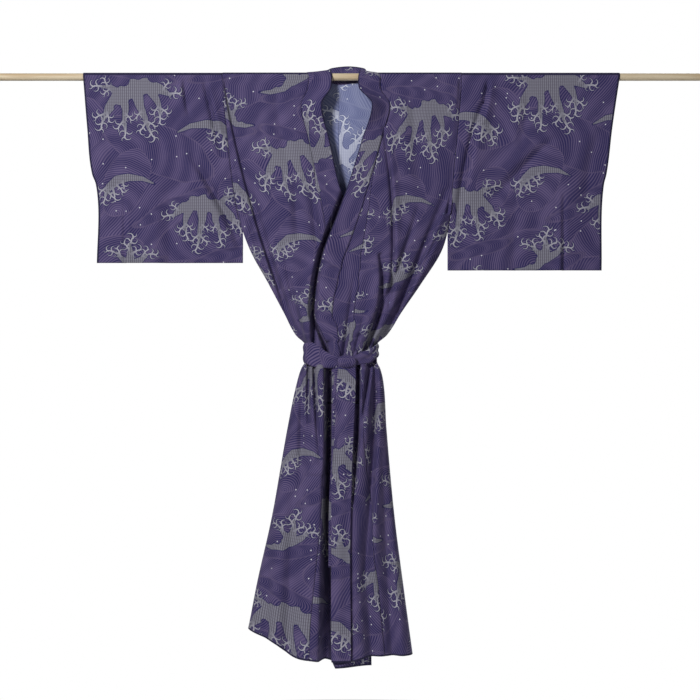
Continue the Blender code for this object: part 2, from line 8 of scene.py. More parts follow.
import bmesh
import bpy
import numpy as np
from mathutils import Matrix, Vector


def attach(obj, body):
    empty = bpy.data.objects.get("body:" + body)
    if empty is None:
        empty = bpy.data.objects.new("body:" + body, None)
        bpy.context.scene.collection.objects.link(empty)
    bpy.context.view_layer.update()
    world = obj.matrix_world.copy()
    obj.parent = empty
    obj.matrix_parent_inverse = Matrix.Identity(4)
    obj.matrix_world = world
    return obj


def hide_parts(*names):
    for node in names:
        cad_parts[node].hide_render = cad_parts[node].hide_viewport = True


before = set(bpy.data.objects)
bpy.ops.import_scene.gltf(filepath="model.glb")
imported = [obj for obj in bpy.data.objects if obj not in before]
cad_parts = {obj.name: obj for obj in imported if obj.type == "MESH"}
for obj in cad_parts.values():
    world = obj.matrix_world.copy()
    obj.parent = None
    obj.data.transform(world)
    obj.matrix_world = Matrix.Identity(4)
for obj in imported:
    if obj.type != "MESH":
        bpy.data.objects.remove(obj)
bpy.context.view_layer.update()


# ---- The rod -------------------------------------------------------------------------------------
# A plain turned softwood stick, sanded and left bare, that passes through both sleeves. Its shape is
# the CAD node's own; the grain runs along it.
class Wire:
    """One output of a material's nodes. Operators add Math nodes, and node() adds any other."""

    def __init__(self, tree, socket=None):
        self.tree = tree
        self.socket = socket

    def node(self, kind, settings=None, inputs=None, output=0):
        """Add a node: its properties are set first, then its sockets get values or links."""
        made = self.tree.nodes.new("ShaderNode" + kind)
        for name, value in (settings or {}).items():
            setattr(made, name, value)
        for place, value in (inputs or {}).items():
            if isinstance(value, Wire):
                self.tree.links.new(value.socket, made.inputs[place])
            else:
                made.inputs[place].default_value = value
        return Wire(self.tree, made.outputs[output])

    def math(self, operation, *values):
        """A Math node on this value and up to two others."""
        return self.node("Math", {"operation": operation}, dict(enumerate((self, *values))))

    def __add__(self, other):
        return self.math("ADD", other)

    def __sub__(self, other):
        return self.math("SUBTRACT", other)

    def __mul__(self, other):
        return self.math("MULTIPLY", other)

    def __lt__(self, other):
        return self.math("LESS_THAN", other)

    def __gt__(self, other):
        return self.math("GREATER_THAN", other)

    __radd__ = __add__

    def __rsub__(self, other):
        return self.node("Math", {"operation": "SUBTRACT"}, {0: other, 1: self})

    def ramp(self, low, high):
        """0 where this is below low, 1 above high, and a smooth step between; high may be the less."""
        return self.node("MapRange", {"interpolation_type": "SMOOTHSTEP"}, {0: self, 1: low, 2: high})

    def mix(self, first, second):
        """The first colour where this is 0 and the second where it is 1."""
        return self.node("Mix", {"data_type": "RGBA"}, {0: self, 6: first, 7: second}, output=2)

    def mix_values(self, first, second):
        """The first value where this is 0 and the second where it is 1."""
        return self.node("Mix", {}, {0: self, 2: first, 3: second})

    def vector(self, operation, *values, output=0):
        """A Vector Math node on this vector and others."""
        return self.node("VectorMath", {"operation": operation}, dict(enumerate((self, *values))), output)

    def noise(self, scale, detail=2.0, roughness=0.5, output=0):
        """Noise read at this place; output 0 is its value and 1 its colour."""
        return self.node("TexNoise", {}, {"Vector": self, "Scale": scale, "Detail": detail,
                                          "Roughness": roughness}, output)

    def part(self, axis):
        """One of this vector's three numbers: 0, 1 or 2."""
        return self.node("SeparateXYZ", {}, {0: self}, axis)

    def bump(self, height, strength):
        """A normal that is bent by a height in metres."""
        return self.node("Bump", {}, {"Height": height, "Strength": strength, "Distance": 1.0})


def dye(red, green, blue):
    """A colour as on a paint chart, 0 to 255, turned into the linear values that shaders take."""
    share = np.array((red, green, blue)) / 255
    linear = np.where(share <= 0.04045, share / 12.92, ((share + 0.055) / 1.055) ** 2.4)
    return (*(float(value) for value in linear), 1.0)


def new_material(name):
    """A material with only its Principled shader, as (material, shader, the first Wire)."""
    material = bpy.data.materials.new(name)
    material.use_nodes = True
    tree = material.node_tree
    return material, tree.nodes["Principled BSDF"], Wire(tree)


def plug(shader, sockets):
    """Give the shader's sockets their values or links."""
    for name, value in sockets.items():
        if isinstance(value, Wire):
            value.tree.links.new(value.socket, shader.inputs[name])
        else:
            shader.inputs[name].default_value = value


WOOD_PALE = dye(226, 210, 180)
WOOD_DARK = dye(196, 172, 136)
GRAIN_STRETCH = (3.0, 60.0, 60.0)     # the grain is twenty times longer than it is wide
WOOD_ROUGHNESS = 0.42
GRAIN_DEPTH = 0.0002

wood, shader, wire = new_material("bare_softwood")
place = wire.node("TexCoord", output=3)
grain = place.vector("MULTIPLY", GRAIN_STRETCH).noise(1.0, detail=6.0, roughness=0.6)
streak = grain.ramp(0.42, 0.66)
plug(shader, {
    "Base Color": streak.mix(WOOD_PALE, WOOD_DARK),
    "Roughness": WOOD_ROUGHNESS + streak * 0.15,
    "Normal": wire.bump(grain * GRAIN_DEPTH, 0.6),
})
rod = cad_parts["rod"]
rod.data.materials.clear()
rod.data.materials.append(wood)

# ---- The print -----------------------------------------------------------------------------------
# The cotton is printed with rolling water: purple swells drawn in fine indigo lines, and masses of
# grey foam that end in hooked claws. The foam has three drawn shapes, a crest, a hand and a curl, in
# millimetres of cloth, each placed twice in a repeat that is one loom width wide.
REPEAT = (0.38, 0.60)                 # across and along the cloth

# A stroke is a row of spines, each with the stroke's half-width there. A bite is a round notch in it.
Spine = namedtuple("Spine", "x y half")
Bite = namedtuple("Bite", "x y radius")
Claw = namedtuple("Claw", "x y heading length turn")    # turn is 1 where it hooks clockwise, or -1
CREST_STROKES = (
    (Spine(88, 30, 3), Spine(60, 46, 12), Spine(28, 54, 19), Spine(-6, 48, 22), Spine(-38, 28, 18),
     Spine(-62, 0, 11), Spine(-76, -30, 3)),
    (Spine(36, 48, 13), Spine(54, 18, 7.5), Spine(62, -4, 4), Spine(60, -18, 2)),
    (Spine(4, 42, 16), Spine(12, 6, 10), Spine(26, -26, 6), Spine(34, -54, 2.5)),
    (Spine(-28, 30, 14), Spine(-22, -4, 8), Spine(-26, -32, 4.5), Spine(-22, -50, 2)),
    (Spine(-36, 34, 11), Spine(-58, 50, 6), Spine(-80, 52, 2.5)))
CREST_BITES = (Bite(46, 76, 15), Bite(8, 84, 16), Bite(-26, 66, 14), Bite(28, 26, 7), Bite(-10, 14, 6),
               Bite(-44, 2, 7))
CREST_CLAWS = (Claw(83, 34, 8, 38, -1), Claw(68, 44, 58, 32, -1), Claw(60, -10, 278, 38, -1),
               Claw(61, 0, 330, 34, -1), Claw(57, 4, 232, 32, 1), Claw(33, -48, 294, 42, 1),
               Claw(28, -32, 336, 36, -1), Claw(27, -34, 244, 38, -1), Claw(16, -8, 226, 30, 1),
               Claw(-23, -44, 274, 40, -1), Claw(-26, -30, 226, 36, 1), Claw(-22, -14, 318, 30, -1),
               Claw(-75, -24, 250, 40, 1), Claw(-68, -10, 292, 34, -1), Claw(-72, -14, 196, 36, 1),
               Claw(-76, 52, 172, 38, 1), Claw(-64, 51, 122, 32, -1), Claw(-60, 46, 214, 28, 1))
HAND_STROKES = (
    (Spine(78, -60, 1.5), Spine(48, -58, 6), Spine(20, -44, 12), Spine(2, -20, 13), Spine(0, 4, 8),
     Spine(4, 26, 3)),
    (Spine(0, -28, 11), Spine(-26, -12, 8), Spine(-42, 2, 2.5)),
    (Spine(6, -22, 9), Spine(26, -8, 5), Spine(38, 4, 2.5)))
HAND_BITES = (Bite(34, -34, 11), Bite(-16, 2, 8))
HAND_CLAWS = (Claw(4, 20, 98, 42, 1), Claw(2, 10, 56, 38, -1), Claw(-2, 2, 142, 38, 1),
              Claw(-40, 4, 172, 36, 1), Claw(-30, -2, 118, 34, 1), Claw(36, 2, 18, 36, -1),
              Claw(26, -6, 72, 34, -1))
CURL_STROKES = (
    (Spine(-84, -26, 1.5), Spine(-54, -6, 6), Spine(-16, 4, 10), Spine(14, 2, 13), Spine(38, -12, 10),
     Spine(52, -32, 4)),)
CURL_BITES = (Bite(8, -18, 9),)
CURL_CLAWS = (Claw(50, -28, 288, 38, 1), Claw(44, -24, 242, 38, -1), Claw(30, -16, 262, 44, 1),
              Claw(18, -10, 232, 38, 1), Claw(46, -12, 334, 38, -1), Claw(0, -4, 262, 32, 1))
Shape = namedtuple("Shape", "strokes bites claws")
SHAPES = {
    "crest": Shape(CREST_STROKES, CREST_BITES, CREST_CLAWS),
    "hand": Shape(HAND_STROKES, HAND_BITES, HAND_CLAWS),
    "curl": Shape(CURL_STROKES, CURL_BITES, CURL_CLAWS),
}

# A claw is drawn once, a unit long, pointing along its own x: a tapering arm, and hooks that curl
# clockwise off it. A hook is part of a circle that starts at an angle and thins towards its end.
ARM_REACH, ARM_HALF, ARM_TAPER, ARM_BOW = 0.58, 0.085, 0.085, 0.12
Hook = namedtuple("Hook", "x y radius start sweep half")
HOOKS = (Hook(0.62, -0.13, 0.215, 110, 165, 0.050), Hook(0.46, 0.19, 0.180, 215, 160, 0.044),
         Hook(0.32, -0.23, 0.180, 70, 150, 0.044), Hook(0.82, 0.12, 0.140, 220, 165, 0.040),
         Hook(0.16, 0.21, 0.140, 235, 150, 0.040))
CLAW_MIDDLE = 0.45
CLAW_REACH = 0.80
CLAW_OUTLINE = 0.028

Stamp = namedtuple("Stamp", "shape across along turn size flip")
STAMPS = (
    Stamp("crest", 0.110, 0.095, 0, 1.00, 1), Stamp("crest", 0.285, 0.370, -12, 0.92, -1),
    Stamp("curl", 0.300, 0.140, 8, 1.00, 1), Stamp("curl", 0.080, 0.270, -10, 0.90, -1),
    Stamp("hand", 0.100, 0.455, 4, 0.95, -1), Stamp("hand", 0.320, 0.545, -8, 0.85, 1),
)
STAMP_REACH = 0.15


def ink(x, y, strokes):
    """Distance outside the nearest stroke, less inside it: to each short leg, less its half-width."""
    nearest = np.full_like(x, 1e3)
    for points in strokes:
        for (ax, ay, ar), (bx, by, br) in zip(points, points[1:]):
            length = (bx - ax) ** 2 + (by - ay) ** 2
            t = np.clip(((x - ax) * (bx - ax) + (y - ay) * (by - ay)) / length, 0, 1)
            away = np.hypot(x - ax - (bx - ax) * t, y - ay - (by - ay) * t) - ar - (br - ar) * t
            nearest = np.minimum(nearest, away)
    return nearest


def wrapped(places, stamp):
    """Offsets of places on the print from the nearest copy of a stamp, in metres."""
    away = places - (stamp.across, stamp.along)
    return (away + np.array(REPEAT) / 2) % REPEAT - np.array(REPEAT) / 2


def on_drawing(away, stamp):
    """Offsets from a stamp, in metres, as millimetres on its drawing."""
    cos, sin = np.cos(np.radians(stamp.turn)), np.sin(np.radians(stamp.turn))
    x = (away[..., 0] * cos + away[..., 1] * sin) * 1000 / stamp.size * stamp.flip
    return x, (away[..., 0] * sin - away[..., 1] * cos) * 1000 / stamp.size


def foam_at(places):
    """Distance in metres outside the foam's masses, for places on the print."""
    mass = np.full(len(places), 1.0)
    for stamp in STAMPS:
        away = wrapped(places, stamp)
        near = np.hypot(*away.T) < STAMP_REACH * stamp.size
        x, y = on_drawing(away[near], stamp)
        shape = SHAPES[stamp.shape]
        body = ink(x, y, shape.strokes)
        for bite in shape.bites:
            body = np.maximum(body, bite.radius - np.hypot(x - bite.x, y - bite.y))
        mass[near] = np.minimum(mass[near], body * stamp.size / 1000)
    return mass


def claws_at(corners):
    """Places in the nearest claw's own frame, for the corners of faces on the print.

    All corners of a face take the same claw, so its frame stays straight across the face.
    """
    centres = corners.mean(axis=1)
    framed = np.full(corners.shape, 9.0)
    nearest = np.full(len(corners), CLAW_REACH)
    for stamp in STAMPS:
        away = wrapped(centres, stamp)
        close = np.flatnonzero(np.hypot(*away.T) < STAMP_REACH * stamp.size)
        x, y = on_drawing(away[close, None] + corners[close] - centres[close, None], stamp)
        for claw in SHAPES[stamp.shape].claws:
            cos, sin = np.cos(np.radians(claw.heading)), np.sin(np.radians(claw.heading))
            ahead = ((x - claw.x) * cos + (y - claw.y) * sin) / claw.length
            aside = ((y - claw.y) * cos - (x - claw.x) * sin) / claw.length * claw.turn
            far = np.hypot(ahead.mean(axis=1) - CLAW_MIDDLE, aside.mean(axis=1))
            better = far < nearest[close]
            nearest[close[better]] = far[better]
            framed[close[better]] = np.stack((ahead, aside), axis=2)[better]
    return framed


Swell = namedtuple("Swell", "form across along wide high turn tone focus")
SWELLS = (
    Swell("rings", 0.170, 0.196, 0.150, 0.062, 26, 0.30, (-0.6, 0.9)),
    Swell("rings", 0.010, 0.483, 0.130, 0.060, -20, 0.60, (0.4, 0.8)),
    Swell("rings", 0.290, 0.391, 0.150, 0.052, -30, 0.45, (0.8, -0.6)),
    Swell("rings", 0.085, 0.280, 0.052, 0.088, 22, 0.70, (0.2, 0.9)),
    Swell("leaf", 0.200, 0.342, 0.112, 0.020, -26, 0.25, (0, 0)),
    Swell("rings", 0.355, 0.143, 0.060, 0.076, 34, 0.55, (-0.3, 1.1)),
    Swell("leaf", 0.110, 0.502, 0.096, 0.018, -22, 0.20, (0, 0)),
    Swell("leaf", 0.320, 0.457, 0.084, 0.018, -14, 0.15, (0, 0)),
    Swell("rings", 0.230, 0.561, 0.095, 0.046, 12, 0.50, (0.5, 1.0)),
    Swell("leaf", 0.120, 0.013, 0.104, 0.019, 12, 0.25, (0, 0)),
    Swell("rings", 0.350, 0.307, 0.040, 0.052, 16, 0.60, (0.4, 0.8)),
    Swell("leaf", 0.320, 0.013, 0.080, 0.017, -8, 0.20, (0, 0)),
)
LINE_SPACING = 0.0048
LEAF_BOW = 0.022                      # how far a leaf's short arcs bow along it
SWEEP_SPACING = 0.047                 # from one darker run of lines to the next
STREAM = (0.80, 0.60, 0.0)            # the water between the swells runs across this
STREAM_WANDER = 0.085
STREAM_SCALE = 4.5
TONE_SCALE = 7.0                      # of lighter and darker water
WEIGHT_SCALE = 11.0                   # of bolder and finer lines
BOLDNESS = {"rings": 0.7, "leaf": 0.8}
WARP_SCALE = 7.0
WARP_REACH = 0.044
RIM_WIDTH = 0.0020
STRIPE_SPACING = 0.0047
CROSS_SPACING = 0.0072
OUTLINE = 0.0012
DROP_CELLS = 34.0                     # cells to the metre
DROP_SHARE = 0.22                     # of the cells that hold a drop
DROP_RADIUS = 0.0015
# The dark line drawn at hems, cuffs and the collar's fold, and as painted shade along the top where the
# cloth turns over the rod.
HEM_AND_SHADE_WIDTH = 0.0050
TOP_SHADE_WIDTH = 0.0085                     # painted shade: added to each side of the dark line painted along the top, where the cloth turns over the rod
TURN = 2 * np.pi
# The last ink draws the hems and cuffs, and also the painted shade along the top where the cloth turns over
# the rod.
INK = namedtuple("INK", "ground deep line pale foam stripe claw drop hem")
FACE = INK(dye(98, 86, 128), dye(60, 53, 98), dye(32, 30, 84), dye(112, 98, 130), dye(136, 135, 148),
           dye(84, 82, 96), dye(176, 174, 184), dye(220, 220, 228), dye(26, 25, 60))
WRONG_SIDE = INK(dye(144, 150, 188), dye(122, 129, 172), dye(96, 103, 152), dye(168, 173, 204),
                 dye(206, 210, 230), dye(172, 177, 206), dye(222, 226, 240), dye(224, 228, 242),
                 dye(50, 50, 84))


def water(place):
    """Lines of the water: how far along its lines a place is, how near a rim, how light, how bold.

    Rings are drawn at equal steps from a swell's focus, a leaf's short arcs at equal steps along it
    plus a bow, and a later swell hides the earlier ones under it.
    """
    stream = place.vector("DOT_PRODUCT", STREAM, output=1)
    phase = stream + (place.noise(STREAM_SCALE, 1.0) - 0.5) * STREAM_WANDER
    rim = phase * 0 + 1
    tone = place.noise(TONE_SCALE, 2.0).ramp(0.35, 0.65)
    weight = place.noise(WEIGHT_SCALE, 1.0).ramp(0.35, 0.62)
    bold = weight * 0.6 + 0.5
    half = np.array((*REPEAT, 1)) / 2
    for swell in SWELLS:
        away = place.vector("SUBTRACT", (swell.across, swell.along, 0))
        away = away.vector("WRAP", tuple(half), tuple(-half))
        inner = away.node("Mapping", {"vector_type": "TEXTURE"},
                          {"Vector": away, "Rotation": (0, 0, np.radians(swell.turn)),
                           "Scale": (swell.wide, swell.high, 1)})
        reach = inner.vector("LENGTH", output=1)
        inside = reach < 1
        if swell.form == "rings":
            middle = swell.focus[0] * swell.wide, swell.focus[1] * swell.high, 0
            own = inner.vector("MULTIPLY", (swell.wide, swell.high, 0)).vector("DISTANCE", middle, output=1)
        else:
            across = inner.part(1)
            own = inner.part(0) * swell.wide + across * across * LEAF_BOW
        phase = inside.mix_values(phase, own)
        rim = inside.mix_values(rim, (1 - reach) * swell.high)
        tone = inside.mix_values(tone, swell.tone)
        bold = inside.mix_values(bold, weight * 0.3 + BOLDNESS[swell.form])
    return phase, rim, tone, bold


def claw_edge(place):
    """Distance outside a claw, in shares of its length, for places in its own frame."""
    x = place.part(0)
    ahead = x.math("MAXIMUM", 0.0).math("MINIMUM", ARM_REACH)
    aside = place.part(1) - ahead * ahead * ARM_BOW
    away = ((x - ahead) * (x - ahead) + aside * aside).math("SQRT")
    edge = away - (ahead * -ARM_TAPER + ARM_HALF)
    for hook in HOOKS:
        out = place.vector("SUBTRACT", (hook.x, hook.y, 0))
        turned = out.part(1).math("ARCTAN2", out.part(0)) * -1 + np.radians(hook.start)
        share = turned.math("WRAP", TURN, 0.0) * (1 / np.radians(hook.sweep))
        half = share * (-0.8 * hook.half) + hook.half
        off = (out.vector("LENGTH", output=1) - hook.radius).math("ABSOLUTE") - half
        edge = edge.math("MINIMUM", off + (share > 1.0))
    return edge


def printed_cotton(name, inks, strength):
    """Plain-woven cotton, printed in one set of inks. The cut map holds places on the print."""
    material, shader, wire = new_material(name)
    cut = wire.node("UVMap", {"uv_map": "cut"})
    mass = wire.node("Attribute", {"attribute_name": "foam"}, output=2)
    claw = wire.node("Attribute", {"attribute_name": "claw"}, output=1)
    hem = wire.node("Attribute", {"attribute_name": "hem"}, output=2)
    warp = cut.noise(WARP_SCALE, 2.0, output=1).vector("SUBTRACT", (0.5, 0.5, 0.5))
    place = warp.vector("MULTIPLY_ADD", (WARP_REACH, WARP_REACH, 0), cut)
    phase, rim, tone, bold = water(place)
    swing = (phase * (TURN / LINE_SPACING)).math("SINE")
    sweep = (phase * (TURN / SWEEP_SPACING)).math("SINE")
    lines = swing.ramp(-0.1, 0.6) * ((bold - sweep * 0.2) * strength)
    pale = swing.ramp(-0.5, -0.95) * 0.5 * strength
    colour = (tone * 0.6 + sweep * 0.25 + 0.2).ramp(0.0, 1.0).mix(inks.deep, inks.ground)
    colour = pale.mix(colour, inks.pale)
    colour = lines.mix(colour, inks.line)
    colour = (rim.ramp(RIM_WIDTH * 1.6, RIM_WIDTH) * 0.35 * strength).mix(colour, inks.pale)
    stripes = (cut.part(0) * (TURN / STRIPE_SPACING)).math("SINE").ramp(0.2, 0.8)
    crosses = (cut.part(1) * (TURN / CROSS_SPACING)).math("SINE").ramp(0.6, 0.95) * 0.45
    foam = stripes.math("MAXIMUM", crosses).mix(inks.foam, inks.stripe)
    claws = claw_edge(claw)
    outline = mass.ramp(OUTLINE * 2, OUTLINE).math("MAXIMUM", claws.ramp(CLAW_OUTLINE * 2, CLAW_OUTLINE))
    colour = outline.mix(colour, inks.line)
    colour = mass.ramp(0.0004, -0.0004).mix(colour, foam)
    colour = claws.ramp(0.006, -0.006).mix(colour, claw.part(0).ramp(0.0, 0.5).mix(inks.foam, inks.claw))
    cells = {"Vector": cut, "Scale": DROP_CELLS}
    drops = cut.node("TexVoronoi", {"voronoi_dimensions": "2D"}, cells)
    chosen = cut.node("TexVoronoi", {"voronoi_dimensions": "2D"}, cells, output=1).part(0) < DROP_SHARE
    dots = (drops < DROP_RADIUS * DROP_CELLS) * chosen * (outline * -1 + 1)
    colour = dots.mix(colour, inks.drop)
    # This ink draws the hems and the collar's folded edge, and as painted shade a line along the top where
    # the cloth turns over the rod.
    colour = hem.ramp(HEM_AND_SHADE_WIDTH, HEM_AND_SHADE_WIDTH * 0.7).mix(colour, inks.hem)
    slubs = cut.vector("MULTIPLY", (900.0, 60.0, 1.0)).noise(1.0, 2.0)
    wefts = cut.vector("MULTIPLY", (60.0, 900.0, 1.0)).noise(1.0, 2.0)
    threads = slubs + wefts
    worn = (threads.ramp(0.7, 1.3) * 0.14).mix(colour, inks.pale)
    plug(shader, {
        "Base Color": worn,
        "Roughness": 0.78 + threads * 0.06,
        "Specular IOR Level": 0.25,
        "Sheen Weight": 0.06,
        "Sheen Roughness": 0.5,
        "Normal": wire.bump(threads * 0.00012, 0.5),
    })
    return material


cotton = printed_cotton("printed_cotton", FACE, 1.0)
cotton_wrong_side = printed_cotton("cotton_wrong_side", WRONG_SIDE, 0.7)

# ---- The body panels -----------------------------------------------------------------------------
# Two lengths of narrow loom cloth, one to each side, that run from the front hem over the shoulder to
# the back hem without a shoulder seam, and are sewn together down the centre back and below the
# armholes. The cloth hangs from the rod, is drawn in by the belt, and falls open again to the hem.
CLOTH = 0.0006
OVER_ROD = 0.0102                     # radius of the cloth where it lies over the rod
SEWN = 0.0009                         # half the distance between front and back where they are sewn
SETTLE = 0.085                        # drop in which front and back come together below the rod
BOW_POWER = 2.4                       # 2 would make a cross-section an ellipse; more makes it fuller
CENTRE_BACK = -0.020
ARMHOLE_DROP = 0.375
ROUNDING_DROP = 0.10
HEM_DROP = 1.40
HEM_START_DROP = 0.75
FRONT_WIDTH = 0.24                    # side seam to overlap seam, along the cloth
EDGE_WIDTH = 0.39                     # side seam to the overlap's free edge
BACK_WIDTH = 0.29
NECK_SEAM = 0.205                     # side seam to collar seam at the shoulder
COLLAR_SPREAD = 0.13                  # how much further the collar seam has gone at the collar's end
COLLAR_END_DROP = 0.79
COLLAR_WIDTH = 0.055
TUCK_START = 0.016
TUCK_RUN = 0.013
TUCKED = 0.26
FOLD_SHARE = 0.66                     # of the cloth's depth, the most that folds take
RIPPLE = 0.0013
PROUD = 0.014                         # the most that a roll of cloth stands out
PRESSED = 0.85                        # the share of that taken away at the middle of the belt
WAIST_DROP = 0.672
WAIST_REACH = 0.040
FINE = 900
SEAM_PINCH = 0.0014                   # how far the cloth dips into a seam
SEAM_REACH = 0.004

Level = namedtuple("Level", "drop left right front back over under wrap")
LEVELS = (
    Level(0.000, -0.308, 0.270, 0.0102, 0.0102, 0.020, -0.043, 0.000),
    Level(0.030, -0.306, 0.269, 0.0115, 0.0110, 0.022, -0.046, 0.000),
    Level(0.070, -0.303, 0.266, 0.0132, 0.0122, 0.053, -0.068, 0.000),
    Level(0.150, -0.296, 0.259, 0.0165, 0.0140, 0.030, -0.050, 0.000),
    Level(0.260, -0.283, 0.249, 0.0230, 0.0180, -0.004, -0.026, 0.000),
    Level(0.340, -0.269, 0.242, 0.0280, 0.0220, -0.033, 0.000, 0.000),
    Level(0.420, -0.241, 0.222, 0.0320, 0.0255, -0.063, 0.020, 0.004),
    Level(0.500, -0.197, 0.172, 0.0360, 0.0295, -0.081, 0.036, 0.012),
    Level(0.570, -0.160, 0.124, 0.0385, 0.0325, -0.087, 0.044, 0.020),
    Level(0.626, -0.130, 0.088, 0.0378, 0.0330, -0.065, 0.044, 0.025),
    Level(0.648, -0.109, 0.065, 0.0355, 0.0315, -0.055, 0.043, 0.027),
    Level(0.688, -0.109, 0.065, 0.0352, 0.0312, -0.047, 0.043, 0.027),
    Level(0.706, -0.118, 0.073, 0.0375, 0.0330, -0.045, 0.043, 0.028),
    Level(0.735, -0.127, 0.080, 0.0405, 0.0355, -0.044, 0.044, 0.030),
    Level(0.850, -0.151, 0.088, 0.0490, 0.0420, -0.046, 0.046, 0.038),
    Level(1.070, -0.188, 0.108, 0.0585, 0.0490, -0.046, 0.048, 0.054),
    Level(1.250, -0.223, 0.131, 0.0655, 0.0550, -0.045, 0.050, 0.066),
    Level(1.400, -0.246, 0.151, 0.0705, 0.0600, -0.040, 0.052, 0.076),
)

# Creases are soft troughs along bowed lines, each with a roll of cloth beside it: roll is the side on
# which the cloth stands up, 1 towards +X and -1 towards -X.
Crease = namedtuple("Crease", "top top_x top_depth mid_x mid_depth low low_x low_depth width roll")
FRONT_CREASES = (
    Crease(0.004, -0.303, 0.014, -0.222, 0.028, 0.700, -0.098, 0.020, 0.0065, -1),
    Crease(0.004, 0.267, 0.012, 0.259, 0.014, 0.330, 0.236, 0.010, 0.0045, 1),
    Crease(0.170, -0.292, 0.000, -0.226, 0.010, 0.640, -0.122, 0.012, 0.0070, -1),
    Crease(0.240, -0.092, 0.000, -0.085, 0.010, 0.460, -0.070, 0.006, 0.0100, 1),
    Crease(0.250, -0.134, 0.000, -0.129, 0.006, 0.420, -0.122, 0.000, 0.0120, -1),
    Crease(0.400, -0.066, 0.006, -0.084, 0.026, 0.660, -0.088, 0.018, 0.0058, -1),
    Crease(0.380, -0.160, 0.000, -0.139, 0.008, 0.680, -0.096, 0.014, 0.0070, 1),
    Crease(0.120, 0.078, 0.004, 0.103, 0.013, 0.560, 0.094, 0.006, 0.0040, 1),
    Crease(0.430, 0.072, 0.008, 0.071, 0.024, 0.690, 0.018, 0.020, 0.0062, -1),
    Crease(0.270, 0.238, 0.008, 0.149, 0.030, 0.700, 0.050, 0.022, 0.0070, 1),
    Crease(0.350, 0.226, 0.000, 0.150, 0.009, 0.660, 0.056, 0.010, 0.0060, 1),
    Crease(0.300, 0.168, 0.000, 0.118, 0.008, 0.620, 0.046, 0.010, 0.0080, -1),
    Crease(0.480, 0.010, 0.000, -0.004, 0.008, 0.700, -0.018, 0.014, 0.0060, 1),
    Crease(0.520, 0.046, 0.000, 0.028, 0.006, 0.690, 0.002, 0.014, 0.0050, 1),
    Crease(0.020, -0.180, 0.000, -0.168, 0.005, 0.240, -0.140, 0.000, 0.0140, 1),
    Crease(0.030, 0.150, 0.000, 0.160, 0.005, 0.300, 0.178, 0.000, 0.0160, -1),
    Crease(0.660, -0.098, 0.020, -0.100, 0.016, 0.900, -0.094, 0.000, 0.0060, -1),
    Crease(0.680, -0.116, 0.010, -0.116, 0.010, 1.080, -0.122, 0.000, 0.0100, -1),
    Crease(0.660, -0.088, 0.016, -0.081, 0.016, 0.960, -0.068, 0.000, 0.0055, -1),
    Crease(0.640, -0.058, 0.014, -0.052, 0.034, 0.960, -0.053, 0.022, 0.0085, -1),
    Crease(0.940, -0.053, 0.020, -0.056, 0.038, 1.440, -0.060, 0.042, 0.0130, -1),
    Crease(0.660, 0.019, 0.020, 0.016, 0.026, 1.030, 0.004, 0.004, 0.0065, 1),
    Crease(0.980, 0.004, 0.000, 0.002, 0.006, 1.440, 0.003, 0.008, 0.0060, 1),
    Crease(0.680, 0.050, 0.018, 0.032, 0.014, 0.930, 0.012, 0.000, 0.0060, 1),
    Crease(0.680, 0.060, 0.016, 0.052, 0.018, 1.260, 0.030, 0.000, 0.0090, 1),
    Crease(0.840, -0.132, 0.000, -0.140, 0.010, 1.440, -0.152, 0.014, 0.0180, -1),
    Crease(1.000, -0.186, 0.000, -0.196, 0.008, 1.440, -0.206, 0.012, 0.0160, 1),
    Crease(0.820, 0.074, 0.000, 0.086, 0.014, 1.440, 0.104, 0.020, 0.0160, 1),
    Crease(1.020, 0.034, 0.000, 0.042, 0.010, 1.440, 0.056, 0.018, 0.0140, -1),
)
BACK_CREASES = (
    Crease(0.020, -0.292, 0.000, -0.208, 0.020, 0.700, -0.092, 0.020, 0.0095, -1),
    Crease(0.200, -0.262, 0.000, -0.190, 0.010, 0.690, -0.080, 0.014, 0.0080, 1),
    Crease(0.280, -0.148, 0.000, -0.103, 0.015, 0.700, -0.062, 0.020, 0.0085, 1),
    Crease(0.440, -0.060, 0.000, -0.042, 0.012, 0.700, -0.034, 0.018, 0.0075, -1),
    Crease(0.360, 0.024, 0.000, 0.004, 0.012, 0.700, -0.005, 0.018, 0.0075, 1),
    Crease(0.260, 0.106, 0.000, 0.064, 0.014, 0.700, 0.021, 0.020, 0.0085, -1),
    Crease(0.060, 0.250, 0.000, 0.163, 0.020, 0.700, 0.049, 0.020, 0.0095, 1),
    Crease(0.220, 0.214, 0.000, 0.140, 0.009, 0.680, 0.040, 0.014, 0.0070, -1),
    Crease(0.050, -0.120, 0.000, -0.128, 0.006, 0.320, -0.110, 0.000, 0.0160, 1),
    Crease(0.060, 0.090, 0.000, 0.098, 0.005, 0.280, 0.084, 0.000, 0.0160, -1),
    Crease(0.660, -0.092, 0.020, -0.166, 0.020, 1.440, -0.212, 0.016, 0.0110, -1),
    Crease(0.660, -0.078, 0.012, -0.128, 0.012, 1.440, -0.166, 0.016, 0.0120, 1),
    Crease(0.660, -0.062, 0.020, -0.098, 0.028, 1.440, -0.124, 0.028, 0.0110, -1),
    Crease(0.660, -0.034, 0.018, -0.050, 0.022, 1.440, -0.066, 0.024, 0.0110, 1),
    Crease(0.660, -0.005, 0.018, 0.004, 0.024, 1.440, 0.012, 0.024, 0.0110, -1),
    Crease(0.660, 0.021, 0.020, 0.034, 0.028, 1.440, 0.048, 0.026, 0.0110, 1),
    Crease(0.660, 0.049, 0.020, 0.082, 0.024, 1.440, 0.114, 0.022, 0.0120, 1),
    Crease(0.900, 0.060, 0.000, 0.070, 0.010, 1.440, 0.084, 0.014, 0.0100, -1),
)
ROLL_SHARE = 0.60                     # a roll's height as a share of its trough's depth
ROLL_SPREAD = 3.0                     # in widths of the trough

